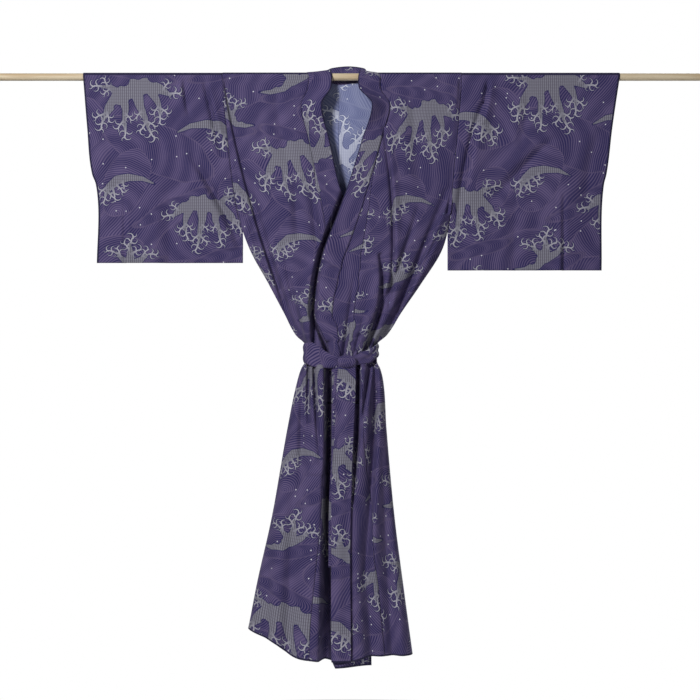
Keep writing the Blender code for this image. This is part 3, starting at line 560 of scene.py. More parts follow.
Hem = namedtuple("Hem", "x under over back")
HEM = (
    Hem(-0.246, 1.333, 1.394, 1.333),
    Hem(-0.180, 1.362, 1.394, 1.360),
    Hem(-0.138, 1.392, 1.400, 1.382),
    Hem(-0.078, 1.403, 1.400, 1.392),
    Hem(-0.044, 1.410, 1.412, 1.397),
    Hem(-0.036, 1.429, 1.412, 1.398),
    Hem(0.052, 1.421, 1.394, 1.398),
    Hem(0.151, 1.421, 1.394, 1.394),
)

Neck = namedtuple("Neck", "seam_out seam_y seam_z edge_left edge_right edge_y edge_z")
NECK = (
    Neck(0.085, 0.0000, 0.0108, -0.046, 0.024, 0.000, 0.0165),
    Neck(0.080, 0.0078, 0.0078, -0.050, 0.031, 0.014, 0.0178),
    Neck(0.070, 0.0108, 0.0000, -0.055, 0.038, 0.026, 0.0176),
    Neck(0.045, 0.0118, -0.0100, -0.046, 0.034, 0.036, 0.0265),
    Neck(0.000, 0.0124, -0.0180, -0.004, -0.004, 0.042, 0.0320),
)


def along(rows, column, place, key="drop"):
    """One column of a table at places between its rows: cubic pieces, flat at a turning point."""
    at = np.array([getattr(row, key) for row in rows])
    value = np.array([getattr(row, column) for row in rows])
    step = np.diff(at)
    rise = np.diff(value) / step
    slope = np.concatenate(([rise[0]], (rise[:-1] + rise[1:]) / 2, [rise[-1]]))
    slope[1:-1] = np.where(rise[:-1] * rise[1:] > 0, slope[1:-1], 0)
    place = np.clip(place, at[0], at[-1])
    i = np.clip(np.searchsorted(at, place, side="right") - 1, 0, len(at) - 2)
    t = (place - at[i]) / step[i]
    blend = t * t * (3 - 2 * t)
    lean = step[i] * (slope[i] * t * (1 - t) ** 2 - slope[i + 1] * t * t * (1 - t))
    return value[i] + (value[i + 1] - value[i]) * blend + lean


def ease(t):
    """0 below 0, 1 above 1, and a smooth step between."""
    t = np.clip(t, 0, 1)
    return t * t * (3 - 2 * t)


def edge_depth(drop):
    """Half the distance from front to back at the side: the rod's radius, dying away below it."""
    return SEWN + (OVER_ROD - SEWN) * np.exp(-drop / SETTLE)


def crease_depth(creases, x, drop):
    """Sum of the creases along their bowed lines: a narrow trough, less the roll that rises beside it.

    The roll starts at the trough, is highest a little way off, and dies away gently.
    """
    depth = np.zeros(np.broadcast(x, drop).shape)
    for crease in creases:
        t = np.clip((drop - crease.top) / (crease.low - crease.top), 0, 1)
        shown = ((drop >= crease.top) & (drop <= crease.low)) * 1.0
        hump = 4 * t * (1 - t)
        line = crease.top_x + (crease.low_x - crease.top_x) * t
        line = line + (crease.mid_x - (crease.top_x + crease.low_x) / 2) * hump
        strength = crease.top_depth + (crease.low_depth - crease.top_depth) * t
        strength = strength + (crease.mid_depth - (crease.top_depth + crease.low_depth) / 2) * hump
        width = crease.width * (0.85 + 0.3 * t)
        beside = (x - line) * crease.roll / width
        trough = np.exp(-np.abs(beside) ** 1.5)
        roll = ease(beside / 1.6) * np.exp(-(np.maximum(beside - 1.2, 0) / ROLL_SPREAD) ** 2)
        depth += shown * strength * (trough - ROLL_SHARE * roll)
    return depth


def ripple(x, drop, seed):
    """Slight unevenness of hanging cloth: five long crossing waves, worked out from a seed."""
    rng = np.random.default_rng(seed)
    wave = np.zeros(np.broadcast(x, drop).shape)
    for _ in range(5):
        across, down, start = rng.uniform(18, 70), rng.uniform(-9, 9), rng.uniform(0, TURN)
        wave += np.sin(across * x + down * drop + start)
    return wave / 5


def section(drop):
    """The level outline of the hanging robe at each drop, as a dict of the table's columns."""
    shape = {name: along(LEVELS, name, drop) for name in Level._fields[1:]}
    shape["middle"] = (shape["left"] + shape["right"]) / 2
    shape["half"] = (shape["right"] - shape["left"]) / 2
    return shape


def envelope(shape, x, drop, side):
    """How far the cloth stands from the rod's plane without creases: an edge plus a rounded bow."""
    out = np.abs((x - shape["middle"]) / shape["half"])
    roundness = 1 - (1 - 1 / BOW_POWER) * ease((drop - ARMHOLE_DROP) / ROUNDING_DROP)
    bow = np.clip(1 - out ** BOW_POWER, 0, 1) ** roundness
    edge = edge_depth(drop)
    return edge + (np.maximum(shape[side], edge) - edge) * bow


def surface(shape, x, drop, side):
    """The envelope with its creases pressed in, never past their share of it, and its ripple.

    Rolls stand less proud under the belt, and creases die away where the cloth lies over the rod.
    """
    outer = envelope(shape, x, drop, side)
    creases = FRONT_CREASES if side == "front" else BACK_CREASES
    depth = crease_depth(creases, x, drop) + RIPPLE * ripple(x, drop, 3)
    proud = PROUD * (1 - PRESSED * np.exp(-((drop - WAIST_DROP) / WAIST_REACH) ** 2))
    most = np.where(depth > 0, FOLD_SHARE * outer, proud)
    return outer - most * np.tanh(depth / most) * ease(drop / 0.02)


def round_points(shape, turn, drop, tucked):
    """x and y at an angle round each section: 0 at the left side, over the front, to pi at the right.

    A tucked front passes behind the over front's edge.
    """
    x = shape["middle"] - shape["half"] * np.cos(turn)
    front = surface(shape, x, drop, "front")
    if tucked:
        hidden = ease((x - shape["over"] + TUCK_START) / TUCK_RUN)
        front = front + (TUCKED * envelope(shape, x, drop, "front") - front) * hidden
    on_back = (turn > np.pi) | (turn < 0)
    return x, np.where(on_back, surface(shape, x, drop, "back"), -front)


def angle_at(shape, x, back=False):
    """Angle round each section of a place x on its front, or on its back."""
    turn = np.arccos(np.clip((shape["middle"] - x) / shape["half"], -1, 1))
    return TURN - turn if back else turn


def strip(drop, start, stop, first, last, columns, tucked=False):
    """Rows of points between two shares of the cloth that runs round from one angle to another.

    The columns are spaced evenly along the cloth itself, so that it keeps its width in the folds.
    """
    shape = section(drop)
    share = np.linspace(0, 1, FINE)
    turn = start + (stop - start) * share
    x, y = round_points(shape, turn, drop, tucked)
    length = np.cumsum(np.hypot(np.diff(x, prepend=x[:, :1]), np.diff(y, prepend=y[:, :1])), axis=1)
    length /= length[:, -1:]
    wanted = first + (last - first) * np.linspace(0, 1, columns + 1)
    turns = np.array([np.interp(w, l, t) for w, l, t in zip(wanted, length, turn)])
    x, y = round_points(shape, turns, drop, tucked)
    return np.stack((x, y, np.broadcast_to(-drop, x.shape)), axis=2)


def side_turn(drop, hand, back=False):
    """Angle of a side seam, which is carried round onto the back below the armhole."""
    shape = section(drop)
    if hand == "left":
        turn = -angle_at(shape, shape["left"] + shape["wrap"])
        return turn + TURN if back else turn
    return angle_at(shape, shape["right"] - shape["wrap"], back=True)


def collar_seam(drop):
    """Distance along the cloth from the side seam to the collar seam."""
    return NECK_SEAM + COLLAR_SPREAD * np.minimum(drop / COLLAR_END_DROP, 1)


def whole_front(drop):
    """Distance along the cloth from the side seam to the front's free edge."""
    return np.minimum(collar_seam(drop) + COLLAR_WIDTH, EDGE_WIDTH)


def front_strip(drop, hand, first, last, columns):
    """Rows across one front between two distances from its side seam, in metres of cloth."""
    shape = section(drop)
    edge = angle_at(shape, shape["under" if hand == "left" else "over"])
    whole = whole_front(drop)
    return strip(drop, side_turn(drop, hand), edge, first / whole, last / whole, columns, hand == "left")


def lower_hem(points, layer):
    """Lower the rows below the waist in step, so that the last follows the hem's own line."""
    share = np.clip((-points[..., 2] - HEM_START_DROP) / (HEM_DROP - HEM_START_DROP), 0, 1) ** 2
    points[..., 2] -= share * (along(HEM, layer, points[..., 0], key="x") - HEM_DROP)
    return points


def pinch(points, share, width):
    """Dip a strip towards the rod's plane within a seam's reach of its two side edges."""
    near = np.minimum(share, 1 - share) * width
    dip = SEAM_PINCH * np.exp(-(near / SEAM_REACH) ** 2) * ease(-points[..., 2] / 0.03)
    points[..., 1] -= np.sign(points[..., 1]) * np.minimum(dip, np.abs(points[..., 1]) * 0.5)
    return points


def lengths(points):
    """Distance along the cloth from its first row to each row, down its first column."""
    rise = np.linalg.norm(np.diff(points[:, 0], axis=0), axis=1)
    return np.concatenate(([0], np.cumsum(rise)))


Laid = namedtuple("Laid", "across along hand way")


def lay(laid, across, along_cloth):
    """Places on the print for distances across and along a piece, cut out at a place and a way up."""
    across, along_cloth = np.broadcast_arrays(across, along_cloth)
    return np.stack((laid.across + laid.hand * across, laid.along + laid.way * along_cloth), axis=2)


def weave(name, points, cut, hem=1.0, wall=CLOTH, turned=False, doubled=False):
    """Cloth through a grid of points: faces between neighbours, places on the print at the corners.

    A closed grid has one more row of places than of points. turned swaps which side is out. A doubled
    piece is folded on itself, and shows the printed face on both sides.
    """
    rows, columns = points.shape[:2]
    index = np.arange(cut.shape[0] * columns).reshape(-1, columns)
    quads = np.stack((index[:-1, :-1], index[:-1, 1:], index[1:, 1:], index[1:, :-1]), axis=2)
    quads = quads.reshape(-1, 4)
    if turned:
        quads = quads[:, ::-1]
    mesh = bpy.data.meshes.new(name)
    mesh.from_pydata(points.reshape(-1, 3), [], quads % (rows * columns))
    mesh.update()
    places = cut.reshape(-1, 2)
    corners = quads.ravel()
    uv = places[corners].astype(np.float32)
    mesh.uv_layers.new(name="cut").data.foreach_set("uv", uv.ravel())
    hem = np.broadcast_to(hem, cut.shape[:2]).ravel()
    for attribute, value in (("foam", foam_at(places)), ("hem", hem)):
        layer = mesh.attributes.new(attribute, "FLOAT", "CORNER")
        layer.data.foreach_set("value", value[corners].astype(np.float32))
    framed = np.pad(claws_at(uv.reshape(-1, 4, 2)).reshape(-1, 2), ((0, 0), (0, 1)))
    layer = mesh.attributes.new("claw", "FLOAT_VECTOR", "CORNER")
    layer.data.foreach_set("vector", framed.astype(np.float32).ravel())
    mesh.shade_smooth()
    mesh.materials.append(cotton)
    mesh.materials.append(cotton if doubled else cotton_wrong_side)
    piece = bpy.data.objects.new(name, mesh)
    bpy.context.scene.collection.objects.link(piece)
    shell = piece.modifiers.new("wall", "SOLIDIFY")
    shell.thickness = wall
    shell.offset = 0
    shell.material_offset = 1
    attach(piece, "root")
    return piece


BODY_COLUMNS = 78
BODY_FRONT_ROWS = 320
BODY_BACK_ROWS = 210
BACK_START_DROP = 0.026
NECK_ROWS = 12
SHOULDER_TURNS = np.radians((15, 30, 45, 60, 75))[:, None]
BODY_LAID = {"left": Laid(0.307, 0.466, 1, 1), "right": Laid(0.216, 0.563, -1, 1)}


def over_rod(x, turns):
    """Rows of points over the rod, at angles round it from its front."""
    return np.stack((x, np.broadcast_to(-OVER_ROD * np.cos(turns), x.shape),
                     np.broadcast_to(OVER_ROD * np.sin(turns), x.shape)), axis=2)


def spaced_drops(rows, bottom=HEM_DROP, top=0.0):
    """Drops of the rows of a hanging panel, as a column."""
    return np.linspace(top, bottom, rows)[:, None]


def make_body(hand):
    """Points of one body panel from its front hem up over the rod and down to its back hem.

    Also the panel's own width at each row.
    """
    sign = -1 if hand == "left" else 1
    share = np.linspace(0, 1, BODY_COLUMNS + 1)
    drop = spaced_drops(BODY_FRONT_ROWS)
    widths = np.minimum(FRONT_WIDTH, collar_seam(drop))
    front = front_strip(drop, hand, 0.0, widths, BODY_COLUMNS)
    front = pinch(lower_hem(front, "under" if hand == "left" else "over"), share, FRONT_WIDTH)
    side_x, neck_x = front[0, 0, 0], front[0, -1, 0]
    inner = neck_x + (CENTRE_BACK + sign * NECK[0].seam_out - neck_x) * SHOULDER_TURNS * 2 / np.pi
    x = side_x + (inner - side_x) * share
    over = over_rod(x, SHOULDER_TURNS)
    place = np.linspace(0, len(NECK) - 1, NECK_ROWS)[:, None]
    out, seam_y, z = (np.interp(place, range(len(NECK)), [getattr(spot, name) for spot in NECK])
                      for name in ("seam_out", "seam_y", "seam_z"))
    outer = side_x + along(LEVELS, hand, -z) - along(LEVELS, hand, 0.0)
    round_rod = np.sqrt(np.clip(OVER_ROD ** 2 - np.maximum(z, 0) ** 2, 0, None))
    behind_y = np.where(z > 0, round_rod, edge_depth(np.maximum(-z, 0)))
    x = outer + (CENTRE_BACK + sign * out - outer) * share
    behind = np.stack((x, behind_y + (seam_y - behind_y) * share ** 2, np.broadcast_to(z, x.shape)),
                      axis=2)
    drop = spaced_drops(BODY_BACK_ROWS, top=BACK_START_DROP)
    centre = angle_at(section(drop), CENTRE_BACK, back=True)
    back = strip(drop, side_turn(drop, hand, back=True), centre, 0.0, 1.0, BODY_COLUMNS)
    back = pinch(lower_hem(back, "back"), share, BACK_WIDTH)
    shoulder = np.full(len(over), NECK_SEAM)
    neck = np.abs(behind[:, -1, 0] - behind[:, 0, 0])
    widths = np.concatenate((widths[::-1, 0], shoulder, neck, np.full(len(back), BACK_WIDTH)))
    return np.concatenate((front[::-1], over, behind, back)), widths[:, None]


for hand in ("left", "right"):
    points, widths = make_body(hand)
    length = lengths(points)
    down = length[BODY_FRONT_ROWS] - length[:, None]
    cut = lay(BODY_LAID[hand], np.linspace(0, 1, BODY_COLUMNS + 1) * widths, down)
    top = length[BODY_FRONT_ROWS] + OVER_ROD * np.pi / 2
    # The dark line lies at both hems, and as painted shade along the top where the cloth turns over the
    # rod.
    hem = np.minimum(np.minimum(length, length[-1] - length), np.abs(length - top) - TOP_SHADE_WIDTH)[:, None]
    body = weave("body_" + hand + "_cloth", points, cut, hem, turned=hand == "right")
    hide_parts("body_" + hand)

# ---- The overlap panels --------------------------------------------------------------------------
# A half-width of the same cloth sewn to each front's inner edge, tapering to nothing at the top where
# the collar crosses it, so that one front laps far over the other. The free edge is a narrow hem.
OVERLAP_COLUMNS = 42
OVERLAP_ROWS = 290
OVERLAP_TOP = 0.216
OVERLAP_LAID = {"left": Laid(0.100, 0.210, 1, 1), "right": Laid(0.240, 0.330, -1, 1)}

for hand in ("left", "right"):
    drop = np.sort(np.concatenate((spaced_drops(OVERLAP_ROWS, top=OVERLAP_TOP),
                                   [[COLLAR_END_DROP - 0.0005], [COLLAR_END_DROP]])), axis=0)
    last = np.where(drop < COLLAR_END_DROP, collar_seam(drop), EDGE_WIDTH)
    points = front_strip(drop, hand, FRONT_WIDTH, last, OVERLAP_COLUMNS)
    points = lower_hem(points, "under" if hand == "left" else "over")
    across = (last - FRONT_WIDTH) * np.linspace(0, 1, OVERLAP_COLUMNS + 1)
    cut = lay(OVERLAP_LAID[hand], across, drop)
    hem = np.minimum(HEM_DROP - drop, np.where(drop > COLLAR_END_DROP, last - FRONT_WIDTH - across, 1))
    overlap = weave("overlap_" + hand + "_cloth", points, cut, hem, turned=hand == "left")
    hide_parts("overlap_" + hand)

# ---- The collar ----------------------------------------------------------------------------------
# One long band, folded double along its free edge and sewn over the raw edges of both fronts and the
# neck. It stands up round the back of the neck and rolls a little at the front.
BAND = 0.0018
COLLAR_COLUMNS = 14
COLLAR_ROWS = 210
COLLAR_NECK_ROWS = 70
COLLAR_STAND = 0.026
COLLAR_STAND_DROP = 0.070
COLLAR_STAND_REACH = 0.045
COLLAR_STAND_POWER = 1.5
COLLAR_LIFT = 0.0012                  # the double band lies this much above the cloth beside it
COLLAR_PUFF = 0.003
COLLAR_ROUND = 0.0035                 # how far the fold at its edge takes to turn under
COLLAR_LAID = Laid(0.130, 0.020, 1, 1)
COLLAR_LINE = 0.0014                  # taken off the dark line pressed in along the band's fold


def collar_front(drop, hand):
    """Rows across the collar on one front, its folded edge standing out near the neck."""
    whole = whole_front(drop)
    points = front_strip(drop, hand, collar_seam(drop), whole, COLLAR_COLUMNS)
    share = np.linspace(0, 1, COLLAR_COLUMNS + 1)
    away = (drop - COLLAR_STAND_DROP) / COLLAR_STAND_REACH
    stand = COLLAR_STAND * np.exp(-away ** 2) * share ** COLLAR_STAND_POWER
    lift = COLLAR_LIFT * (1 - np.exp(-(1 - share) * COLLAR_WIDTH / COLLAR_ROUND))
    points[..., 1] -= stand + lift
    return points


def collar_neck(place, sign):
    """One row across the collar where it stands round the back of the neck."""
    seam = np.array((CENTRE_BACK + sign * place.seam_out, place.seam_y, place.seam_z))
    edge = np.array((place.edge_left if sign < 0 else place.edge_right, place.edge_y, place.edge_z))
    share = np.linspace(0, 1, COLLAR_COLUMNS + 1)[:, None]
    row = seam + (edge - seam) * share
    row[:, 1] += COLLAR_PUFF * np.sin(np.pi * share[:, 0])
    return row


def through(knots, count):
    """Points at even steps along a smooth curve through knots (a Catmull-Rom spline)."""
    ends = 2 * knots[:1] - knots[1:2], 2 * knots[-1:] - knots[-2:-1]
    padded = np.concatenate((ends[0], knots, ends[1]))
    t = np.linspace(0, len(knots) - 1, count)
    i = np.minimum(t.astype(int), len(knots) - 2)
    t = (t - i)[:, None, None]
    a, b, c, d = (padded[i + k] for k in range(4))
    return b + 0.5 * t * (c - a + t * (2 * a - 5 * b + 4 * c - d + t * (3 * (b - c) + d - a)))


drop = spaced_drops(COLLAR_ROWS, bottom=COLLAR_END_DROP - 0.001, top=0.012)
left_front, right_front = collar_front(drop, "left"), collar_front(drop, "right")
neck_knots = np.concatenate((
    left_front[:1], collar_front(np.zeros((1, 1)), "left"),
    [collar_neck(place, -1) for place in NECK[:-1]], [collar_neck(NECK[-1], 0)],
    [collar_neck(place, 1) for place in NECK[-2::-1]],
    collar_front(np.zeros((1, 1)), "right"), right_front[:1]))
points = np.concatenate((left_front[::-1], through(neck_knots, COLLAR_NECK_ROWS)[1:-1], right_front))
cut = lay(COLLAR_LAID, np.linspace(0, COLLAR_WIDTH, COLLAR_COLUMNS + 1), lengths(points)[:, None])
hem = np.linspace(COLLAR_WIDTH, 0, COLLAR_COLUMNS + 1) + COLLAR_LINE
collar = weave("collar_cloth", points, cut, hem, wall=BAND, doubled=True)
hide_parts("collar")

# ---- The sleeves ---------------------------------------------------------------------------------
# A square bag to each side: one length of cloth folded over the rod, sewn to the body down the armhole,
# closed along the bottom, and sewn up the cuff as far as the hand's opening.
SLEEVE_COLUMNS = 92
SLEEVE_ROWS = 122
SLEEVE_BILLOW = 0.005
HAND_OPENING = 0.238
CUFF_REACH = 0.007
SLEEVE_WIDTH = 0.34                   # armhole to cuff, for the dark line at the cuff
SLEEVE_RIPPLE = 0.0045
SLEEVE_SEED = {"left": 11, "right": 5}
BACK_SHARE = 0.85                     # of the front's creases that show behind
Sleeve = namedtuple("Sleeve", "drop cuff_left cuff_right")
SLEEVE = (
    Sleeve(0.000, -0.645, 0.652),
    Sleeve(0.120, -0.636, 0.635),
    Sleeve(0.235, -0.624, 0.621),
    Sleeve(0.260, -0.615, 0.615),
    Sleeve(0.470, -0.613, 0.609),
)
SLEEVE_BOTTOM = {"left": 0.450, "right": 0.468}
SLEEVE_LAID = {"left": Laid(0.322, 0.003, -1, 1), "right": Laid(0.276, 0.023, 1, 1)}
SLEEVE_CREASES = {
    "left": (
        Crease(0.004, -0.402, 0.008, -0.397, 0.009, 0.100, -0.388, 0.000, 0.0050, -1),
        Crease(0.010, -0.352, 0.006, -0.331, 0.012, 0.200, -0.306, 0.002, 0.0055, 1),
        Crease(0.180, -0.392, 0.000, -0.318, 0.013, 0.420, -0.262, 0.004, 0.0110, -1),
        Crease(0.040, -0.470, 0.000, -0.462, 0.004, 0.200, -0.452, 0.000, 0.0120, 1),
        Crease(0.285, -0.546, 0.002, -0.545, 0.007, 0.600, -0.545, 0.007, 0.0040, 1),
        Crease(0.240, -0.440, 0.000, -0.436, 0.006, 0.600, -0.430, 0.006, 0.0220, -1),
        Crease(0.120, -0.600, 0.000, -0.572, 0.004, 0.330, -0.560, 0.000, 0.0160, 1),
    ),
    "right": (
        Crease(0.004, 0.333, 0.008, 0.326, 0.012, 0.110, 0.312, 0.004, 0.0050, 1),
        Crease(0.060, 0.320, 0.004, 0.284, 0.014, 0.330, 0.262, 0.006, 0.0080, 1),
        Crease(0.140, 0.500, 0.000, 0.418, 0.007, 0.300, 0.345, 0.000, 0.0180, -1),
        Crease(0.285, 0.516, 0.002, 0.516, 0.007, 0.600, 0.515, 0.007, 0.0040, -1),
        Crease(0.240, 0.400, 0.000, 0.396, 0.006, 0.600, 0.390, 0.006, 0.0220, 1),
        Crease(0.030, 0.430, 0.000, 0.424, 0.004, 0.180, 0.410, 0.000, 0.0120, -1),
        Crease(0.120, 0.606, 0.000, 0.580, 0.004, 0.330, 0.572, 0.000, 0.0160, -1),
    ),
}

for hand, sign in (("left", -1), ("right", 1)):
    bottom = SLEEVE_BOTTOM[hand]
    share = np.linspace(0, 1, SLEEVE_COLUMNS + 1)
    drop = spaced_drops(SLEEVE_ROWS, bottom=bottom)
    armhole = along(LEVELS, hand, np.minimum(drop, ARMHOLE_DROP)) + sign * 0.0004
    cuff = along(SLEEVE, "cuff_" + hand, drop)
    x = armhole + (cuff - armhole) * share
    window = np.sin(np.pi * drop / bottom) * np.sin(np.pi * share)
    apart = edge_depth(drop) + SLEEVE_BILLOW * window
    shut = ease((drop - HAND_OPENING) / 0.012) * np.exp(-(np.abs(cuff - x) / CUFF_REACH) ** 2)
    apart = apart + (0.0005 - apart) * np.maximum(shut, ease((drop - bottom + 0.006) / 0.006))
    bend = crease_depth(SLEEVE_CREASES[hand], x, drop) * ease(drop / 0.03)
    bend = bend + SLEEVE_RIPPLE * ripple(x, drop, SLEEVE_SEED[hand]) * ease(drop / 0.15)
    joined = ease((ARMHOLE_DROP - drop) / 0.04) * np.exp(-(np.abs(x - armhole) / 0.012) ** 2)
    bend = bend * (1 - joined)
    level = np.broadcast_to(-drop, x.shape)
    front = np.stack((x, bend - apart, level), axis=2)
    back = np.stack((x, bend * BACK_SHARE + apart, level), axis=2)
    turns = np.radians(np.arange(15, 180, 15))[:, None]
    over = over_rod(np.broadcast_to(x[0], (len(turns), x.shape[1])), turns)
    points = np.concatenate((front[::-1], over, back))
    length = lengths(points)
    middle = length[SLEEVE_ROWS + len(turns) // 2]
    rows = np.concatenate((length, [length[-1] + 0.001]))[:, None]
    wide = np.concatenate((x[::-1], np.repeat(x[:1], len(turns), axis=0), x, x[-1:])) - x[0, 0]
    cut = lay(SLEEVE_LAID[hand], sign * wide, middle - rows)
    # The dark line lies along the cuff, and as painted shade along the top where the cloth turns over the
    # rod.
    hem = np.minimum((1 - share) * SLEEVE_WIDTH, np.abs(middle - rows) - TOP_SHADE_WIDTH)
    sleeve = weave("sleeve_" + hand + "_cloth", points, cut, hem, turned=hand == "left")
    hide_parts("sleeve_" + hand)

# ---- The belt ------------------------------------------------------------------------------------
# A long narrow band of the same cloth, folded double, drawn round the waist over the gathered folds
# and bunched towards its knot.
BELT_CLEAR = 0.0040
BELT_SIDE_CLEAR = 0.0012
BELT_STATIONS = 300
BELT_COLUMNS = 14
BELT_PUFF = 0.0026
BELT_PLEAT = 0.0010
BELT_OPEN = 0.06                      # the band's height at which its pleats are shallowest
Edges = namedtuple("Edges", "x upper lower")
BELT_FRONT = (
    Edges(-0.114, 0.646, 0.690), Edges(-0.096, 0.642, 0.699), Edges(-0.076, 0.650, 0.7025),
    Edges(-0.060, 0.663, 0.704), Edges(-0.044, 0.671, 0.7045), Edges(-0.024, 0.677, 0.704),
    Edges(0.012, 0.674, 0.697), Edges(0.029, 0.6655, 0.6945), Edges(0.048, 0.658, 0.691),
    Edges(0.064, 0.646, 0.680), Edges(0.072, 0.644, 0.674),
)
BELT_BACK = (Edges(-0.114, 0.646, 0.690), Edges(-0.020, 0.648, 0.690), Edges(0.072, 0.644, 0.674))
BELT_LAID = Laid(0.190, 0.450, 1, 1)
BELT_CUT = (0.045, 0.41)

turn = np.linspace(0, TURN, BELT_STATIONS, endpoint=False)[:, None]
waist = section(np.full((1, 1), WAIST_DROP))
x = waist["middle"] - waist["half"] * np.cos(turn)
in_front = turn <= np.pi
level = np.full_like(x, WAIST_DROP)
round_waist = {name: np.broadcast_to(value, x.shape) for name, value in waist.items()}
reach = np.where(in_front, -envelope(round_waist, x, level, "front"),
                 envelope(round_waist, x, level, "back"))
out = np.stack((x - waist["middle"], reach + np.sign(reach) * BELT_CLEAR), axis=2)
out[..., 0] *= 1 + BELT_SIDE_CLEAR / waist["half"]
belt_x = waist["middle"] + out[..., 0]
upper = np.where(in_front, along(BELT_FRONT, "upper", belt_x, key="x"),
                 along(BELT_BACK, "upper", belt_x, key="x"))
lower = np.where(in_front, along(BELT_FRONT, "lower", belt_x, key="x"),
                 along(BELT_BACK, "lower", belt_x, key="x"))
share = np.linspace(0, 1, BELT_COLUMNS + 1)
narrow = 1 - (lower - upper) / BELT_OPEN
puff = BELT_PUFF * (1 - np.abs(2 * share - 1) ** 2.5)
puff = puff + BELT_PLEAT * (1 + narrow) * np.sin(share * 3 * np.pi + 1.3 * np.sin(turn * 5))
outward = out / np.linalg.norm(out, axis=2, keepdims=True)
points = np.stack((belt_x + outward[..., 0] * puff, out[..., 1] + outward[..., 1] * puff,
                   -upper - (lower - upper) * share), axis=2)
around = np.concatenate((lengths(points), [lengths(points)[-1] + 0.002]))[:, None]
cut = lay(BELT_LAID, np.linspace(0, BELT_CUT[0], BELT_COLUMNS + 1), around)
belt = weave("belt_cloth", points, cut, wall=BAND, doubled=True)
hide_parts("belt")

# ---- The knot ------------------------------------------------------------------------------------
# The belt's two ends are crossed and tied once in front, where the cloth is drawn into a small lump.
KNOT_CENTRE = (-0.007, -0.0475, -0.6885)
KNOT_HALF = (0.0225, 0.0105, 0.0155)
KNOT_RINGS = 40
KNOT_SPOKES = 56
KNOT_SQUARE = 0.75                    # 1 would make it an ellipsoid; less fills its ends
KNOT_CREASE = 0.07
KNOT_GROOVE = 0.05
KNOT_ROUND = 0.09                     # of print taken round the lump
KNOT_LAID = Laid(0.190, 0.500, 1, 1)

# Spokes run from pole to pole along X; fine creases fan out at the poles, and a groove crosses it.
to_pole = np.cos(np.linspace(0, np.pi, KNOT_RINGS + 1))
spoke = np.linspace(0, TURN, KNOT_SPOKES, endpoint=False)[:, None]
swell = np.sqrt(np.clip(1 - to_pole ** 2, 0, 1)) ** KNOT_SQUARE
crease = 1 + KNOT_CREASE * np.sin(7 * spoke + 2 * to_pole + 0.6) * to_pole ** 2
crease = crease - KNOT_GROOVE * np.exp(-((to_pole + 0.25 + 0.2 * np.cos(spoke)) / 0.07) ** 2)
points = np.stack((np.broadcast_to(KNOT_CENTRE[0] - KNOT_HALF[0] * to_pole, crease.shape),
                   KNOT_CENTRE[1] - KNOT_HALF[1] * swell * crease * np.cos(spoke),
                   KNOT_CENTRE[2] + KNOT_HALF[2] * swell * crease * np.sin(spoke)), axis=2)
cut = lay(KNOT_LAID, -KNOT_HALF[0] * to_pole, np.linspace(0, KNOT_ROUND, KNOT_SPOKES + 1)[:, None])
knot = weave("belt_knot_cloth", points, cut)
bm = bmesh.new()
bm.from_mesh(knot.data)
bmesh.ops.remove_doubles(bm, verts=bm.verts, dist=1e-6)
bm.to_mesh(knot.data)
bm.free()
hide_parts("belt_knot")

# ---- The belt's ends -----------------------------------------------------------------------------
# Both hang from the knot down the front of the skirt, one over the other, and end in a narrow hem.
TAIL_COLUMNS = 18
TAIL_ROWS = 170
TAIL_TOP_DROP = 0.74
TAIL_CURL = 0.0022
TAIL_SWAY = 0.0030
Tail = namedtuple("Tail", "drop left right")
FRONT_TAIL = (
    Tail(0.697, -0.0270, 0.0125), Tail(0.720, -0.0300, 0.0140), Tail(0.787, -0.0340, 0.0122),
    Tail(0.845, -0.0362, 0.0094), Tail(0.958, -0.0436, 0.0048), Tail(1.145, -0.0450, 0.0005),
    Tail(1.362, -0.0448, 0.0024), Tail(1.404, -0.0440, 0.0020),
)
UNDER_TAIL = (
    Tail(0.700, -0.0340, 0.0000), Tail(0.730, -0.0380, 0.0020), Tail(0.900, -0.0440, 0.0000),
    Tail(1.030, -0.0500, -0.0060), Tail(1.180, -0.0515, -0.0070),
)
TAILS = {
    "belt_end_front": (FRONT_TAIL, 0.0066, 0.0018, Laid(0.300, 0.020, 1, 1), (0.045, 0.715)),
    "belt_end_under": (UNDER_TAIL, 0.0026, 0.0008, Laid(0.060, 0.220, 1, 1), (0.045, 0.485)),
}

for name, (stations, clear, wall, laid, size) in TAILS.items():
    drop = np.linspace(stations[0].drop, stations[-1].drop, TAIL_ROWS)[:, None]
    share = np.linspace(0, 1, TAIL_COLUMNS + 1)
    left, right = along(stations, "left", drop), along(stations, "right", drop)
    x = left + (right - left) * share
    out = np.maximum(along(LEVELS, "front", drop), along(LEVELS, "front", TAIL_TOP_DROP)) + clear
    away = TAIL_CURL * (1 - (2 * share - 1) ** 2) + TAIL_SWAY * ripple(x, drop, 21)
    out = out + (away + 0.0012 * np.sin(share * 2.5 * np.pi + 4 * drop)) * ease((drop - 0.70) / 0.1)
    points = np.stack((x, -out, np.broadcast_to(-drop, x.shape)), axis=2)
    cut = lay(laid, np.linspace(0, size[0], TAIL_COLUMNS + 1), drop)
    tail = weave(name + "_cloth", points, cut, stations[-1].drop - drop, wall, turned=True,
                 doubled=True)
    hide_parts(name)

# ---- The floor, the lights and the camera --------------------------------------------------------
# A plain round white floor below the hem, plain white all round, wide soft lights in front and
# behind, and a level view from straight in front.
FLOOR_DROP = 1.75
FLOOR_RADIUS = 1.3
FLOOR_SIDES = 96

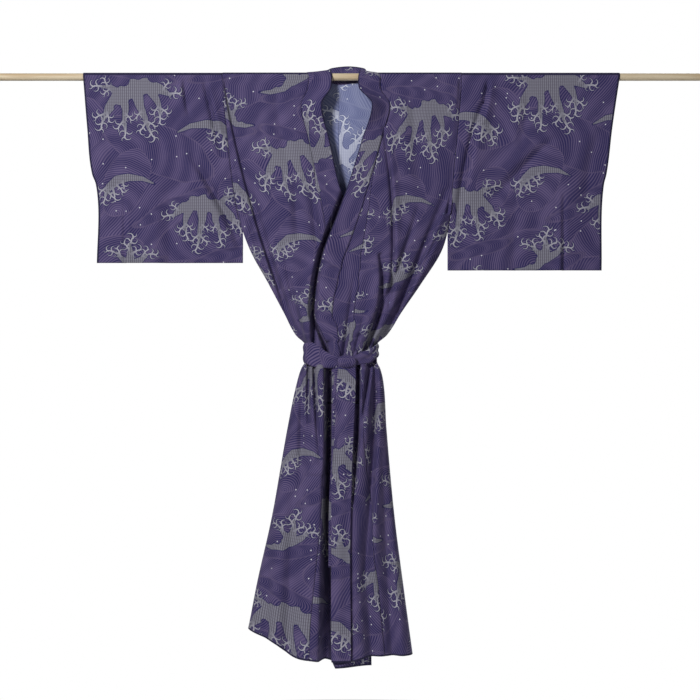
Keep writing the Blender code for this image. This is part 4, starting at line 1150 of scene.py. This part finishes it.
turns = np.linspace(0, TURN, FLOOR_SIDES, endpoint=False)
rim = np.stack((np.cos(turns), np.sin(turns), np.zeros(FLOOR_SIDES)), axis=1) * FLOOR_RADIUS
mesh = bpy.data.meshes.new("floor")
mesh.from_pydata(rim - (0, 0, FLOOR_DROP), [], [range(FLOOR_SIDES)])
floor = bpy.data.objects.new("floor", mesh)
bpy.context.scene.collection.objects.link(floor)
paper, shader, _ = new_material("white_floor")
plug(shader, {"Base Color": dye(250, 250, 250), "Roughness": 0.9})
mesh.materials.append(paper)

WORLD_LIGHT = 0.11
WORLD_SEEN = 1.0
world = bpy.data.worlds.new("studio")
world.use_nodes = True
air = Wire(world.node_tree)
seen = air.node("LightPath")
ground = world.node_tree.nodes["Background"]
ground.inputs["Color"].default_value = (1, 1, 1, 1)
strength = seen * (WORLD_SEEN - WORLD_LIGHT) + WORLD_LIGHT
world.node_tree.links.new(strength.socket, ground.inputs["Strength"])
bpy.context.scene.world = world
bpy.context.scene.view_settings.view_transform = "Standard"

Lamp = namedtuple("Lamp", "name place aim wide high power")
LAMPS = (
    Lamp("key", (-1.8, -3.0, 1.3), (0, 0, -0.20), 0.8, 0.8, 112),
    Lamp("fill", (2.4, -3.9, -0.1), (0, 0, -0.5), 1.4, 1.4, 13),
    Lamp("back", (1.9, 3.0, 1.2), (0, 0, -0.5), 1.2, 1.2, 100),
    Lamp("back_fill", (-2.4, 3.6, 0.0), (0, 0, -0.6), 1.4, 1.4, 18),
)
for lamp in LAMPS:
    light = bpy.data.lights.new(lamp.name, "AREA")
    light.shape = "RECTANGLE"
    light.size, light.size_y = lamp.wide, lamp.high
    light.energy = lamp.power
    holder = bpy.data.objects.new(lamp.name, light)
    holder.location = lamp.place
    aim = Vector(lamp.aim) - Vector(lamp.place)
    holder.rotation_euler = aim.to_track_quat("-Z", "Y").to_euler()
    bpy.context.scene.collection.objects.link(holder)

CAMERA_AWAY = 4.5
CAMERA_DROP = 0.6607
CAMERA_LENS = 95.6
lens = bpy.data.cameras.new("camera")
lens.lens = CAMERA_LENS
lens.sensor_width = 36
camera = bpy.data.objects.new("camera", lens)
camera.location = (0, -CAMERA_AWAY, -CAMERA_DROP)
camera.rotation_euler = (np.pi / 2, 0, 0)
bpy.context.scene.collection.objects.link(camera)
bpy.context.scene.camera = camera
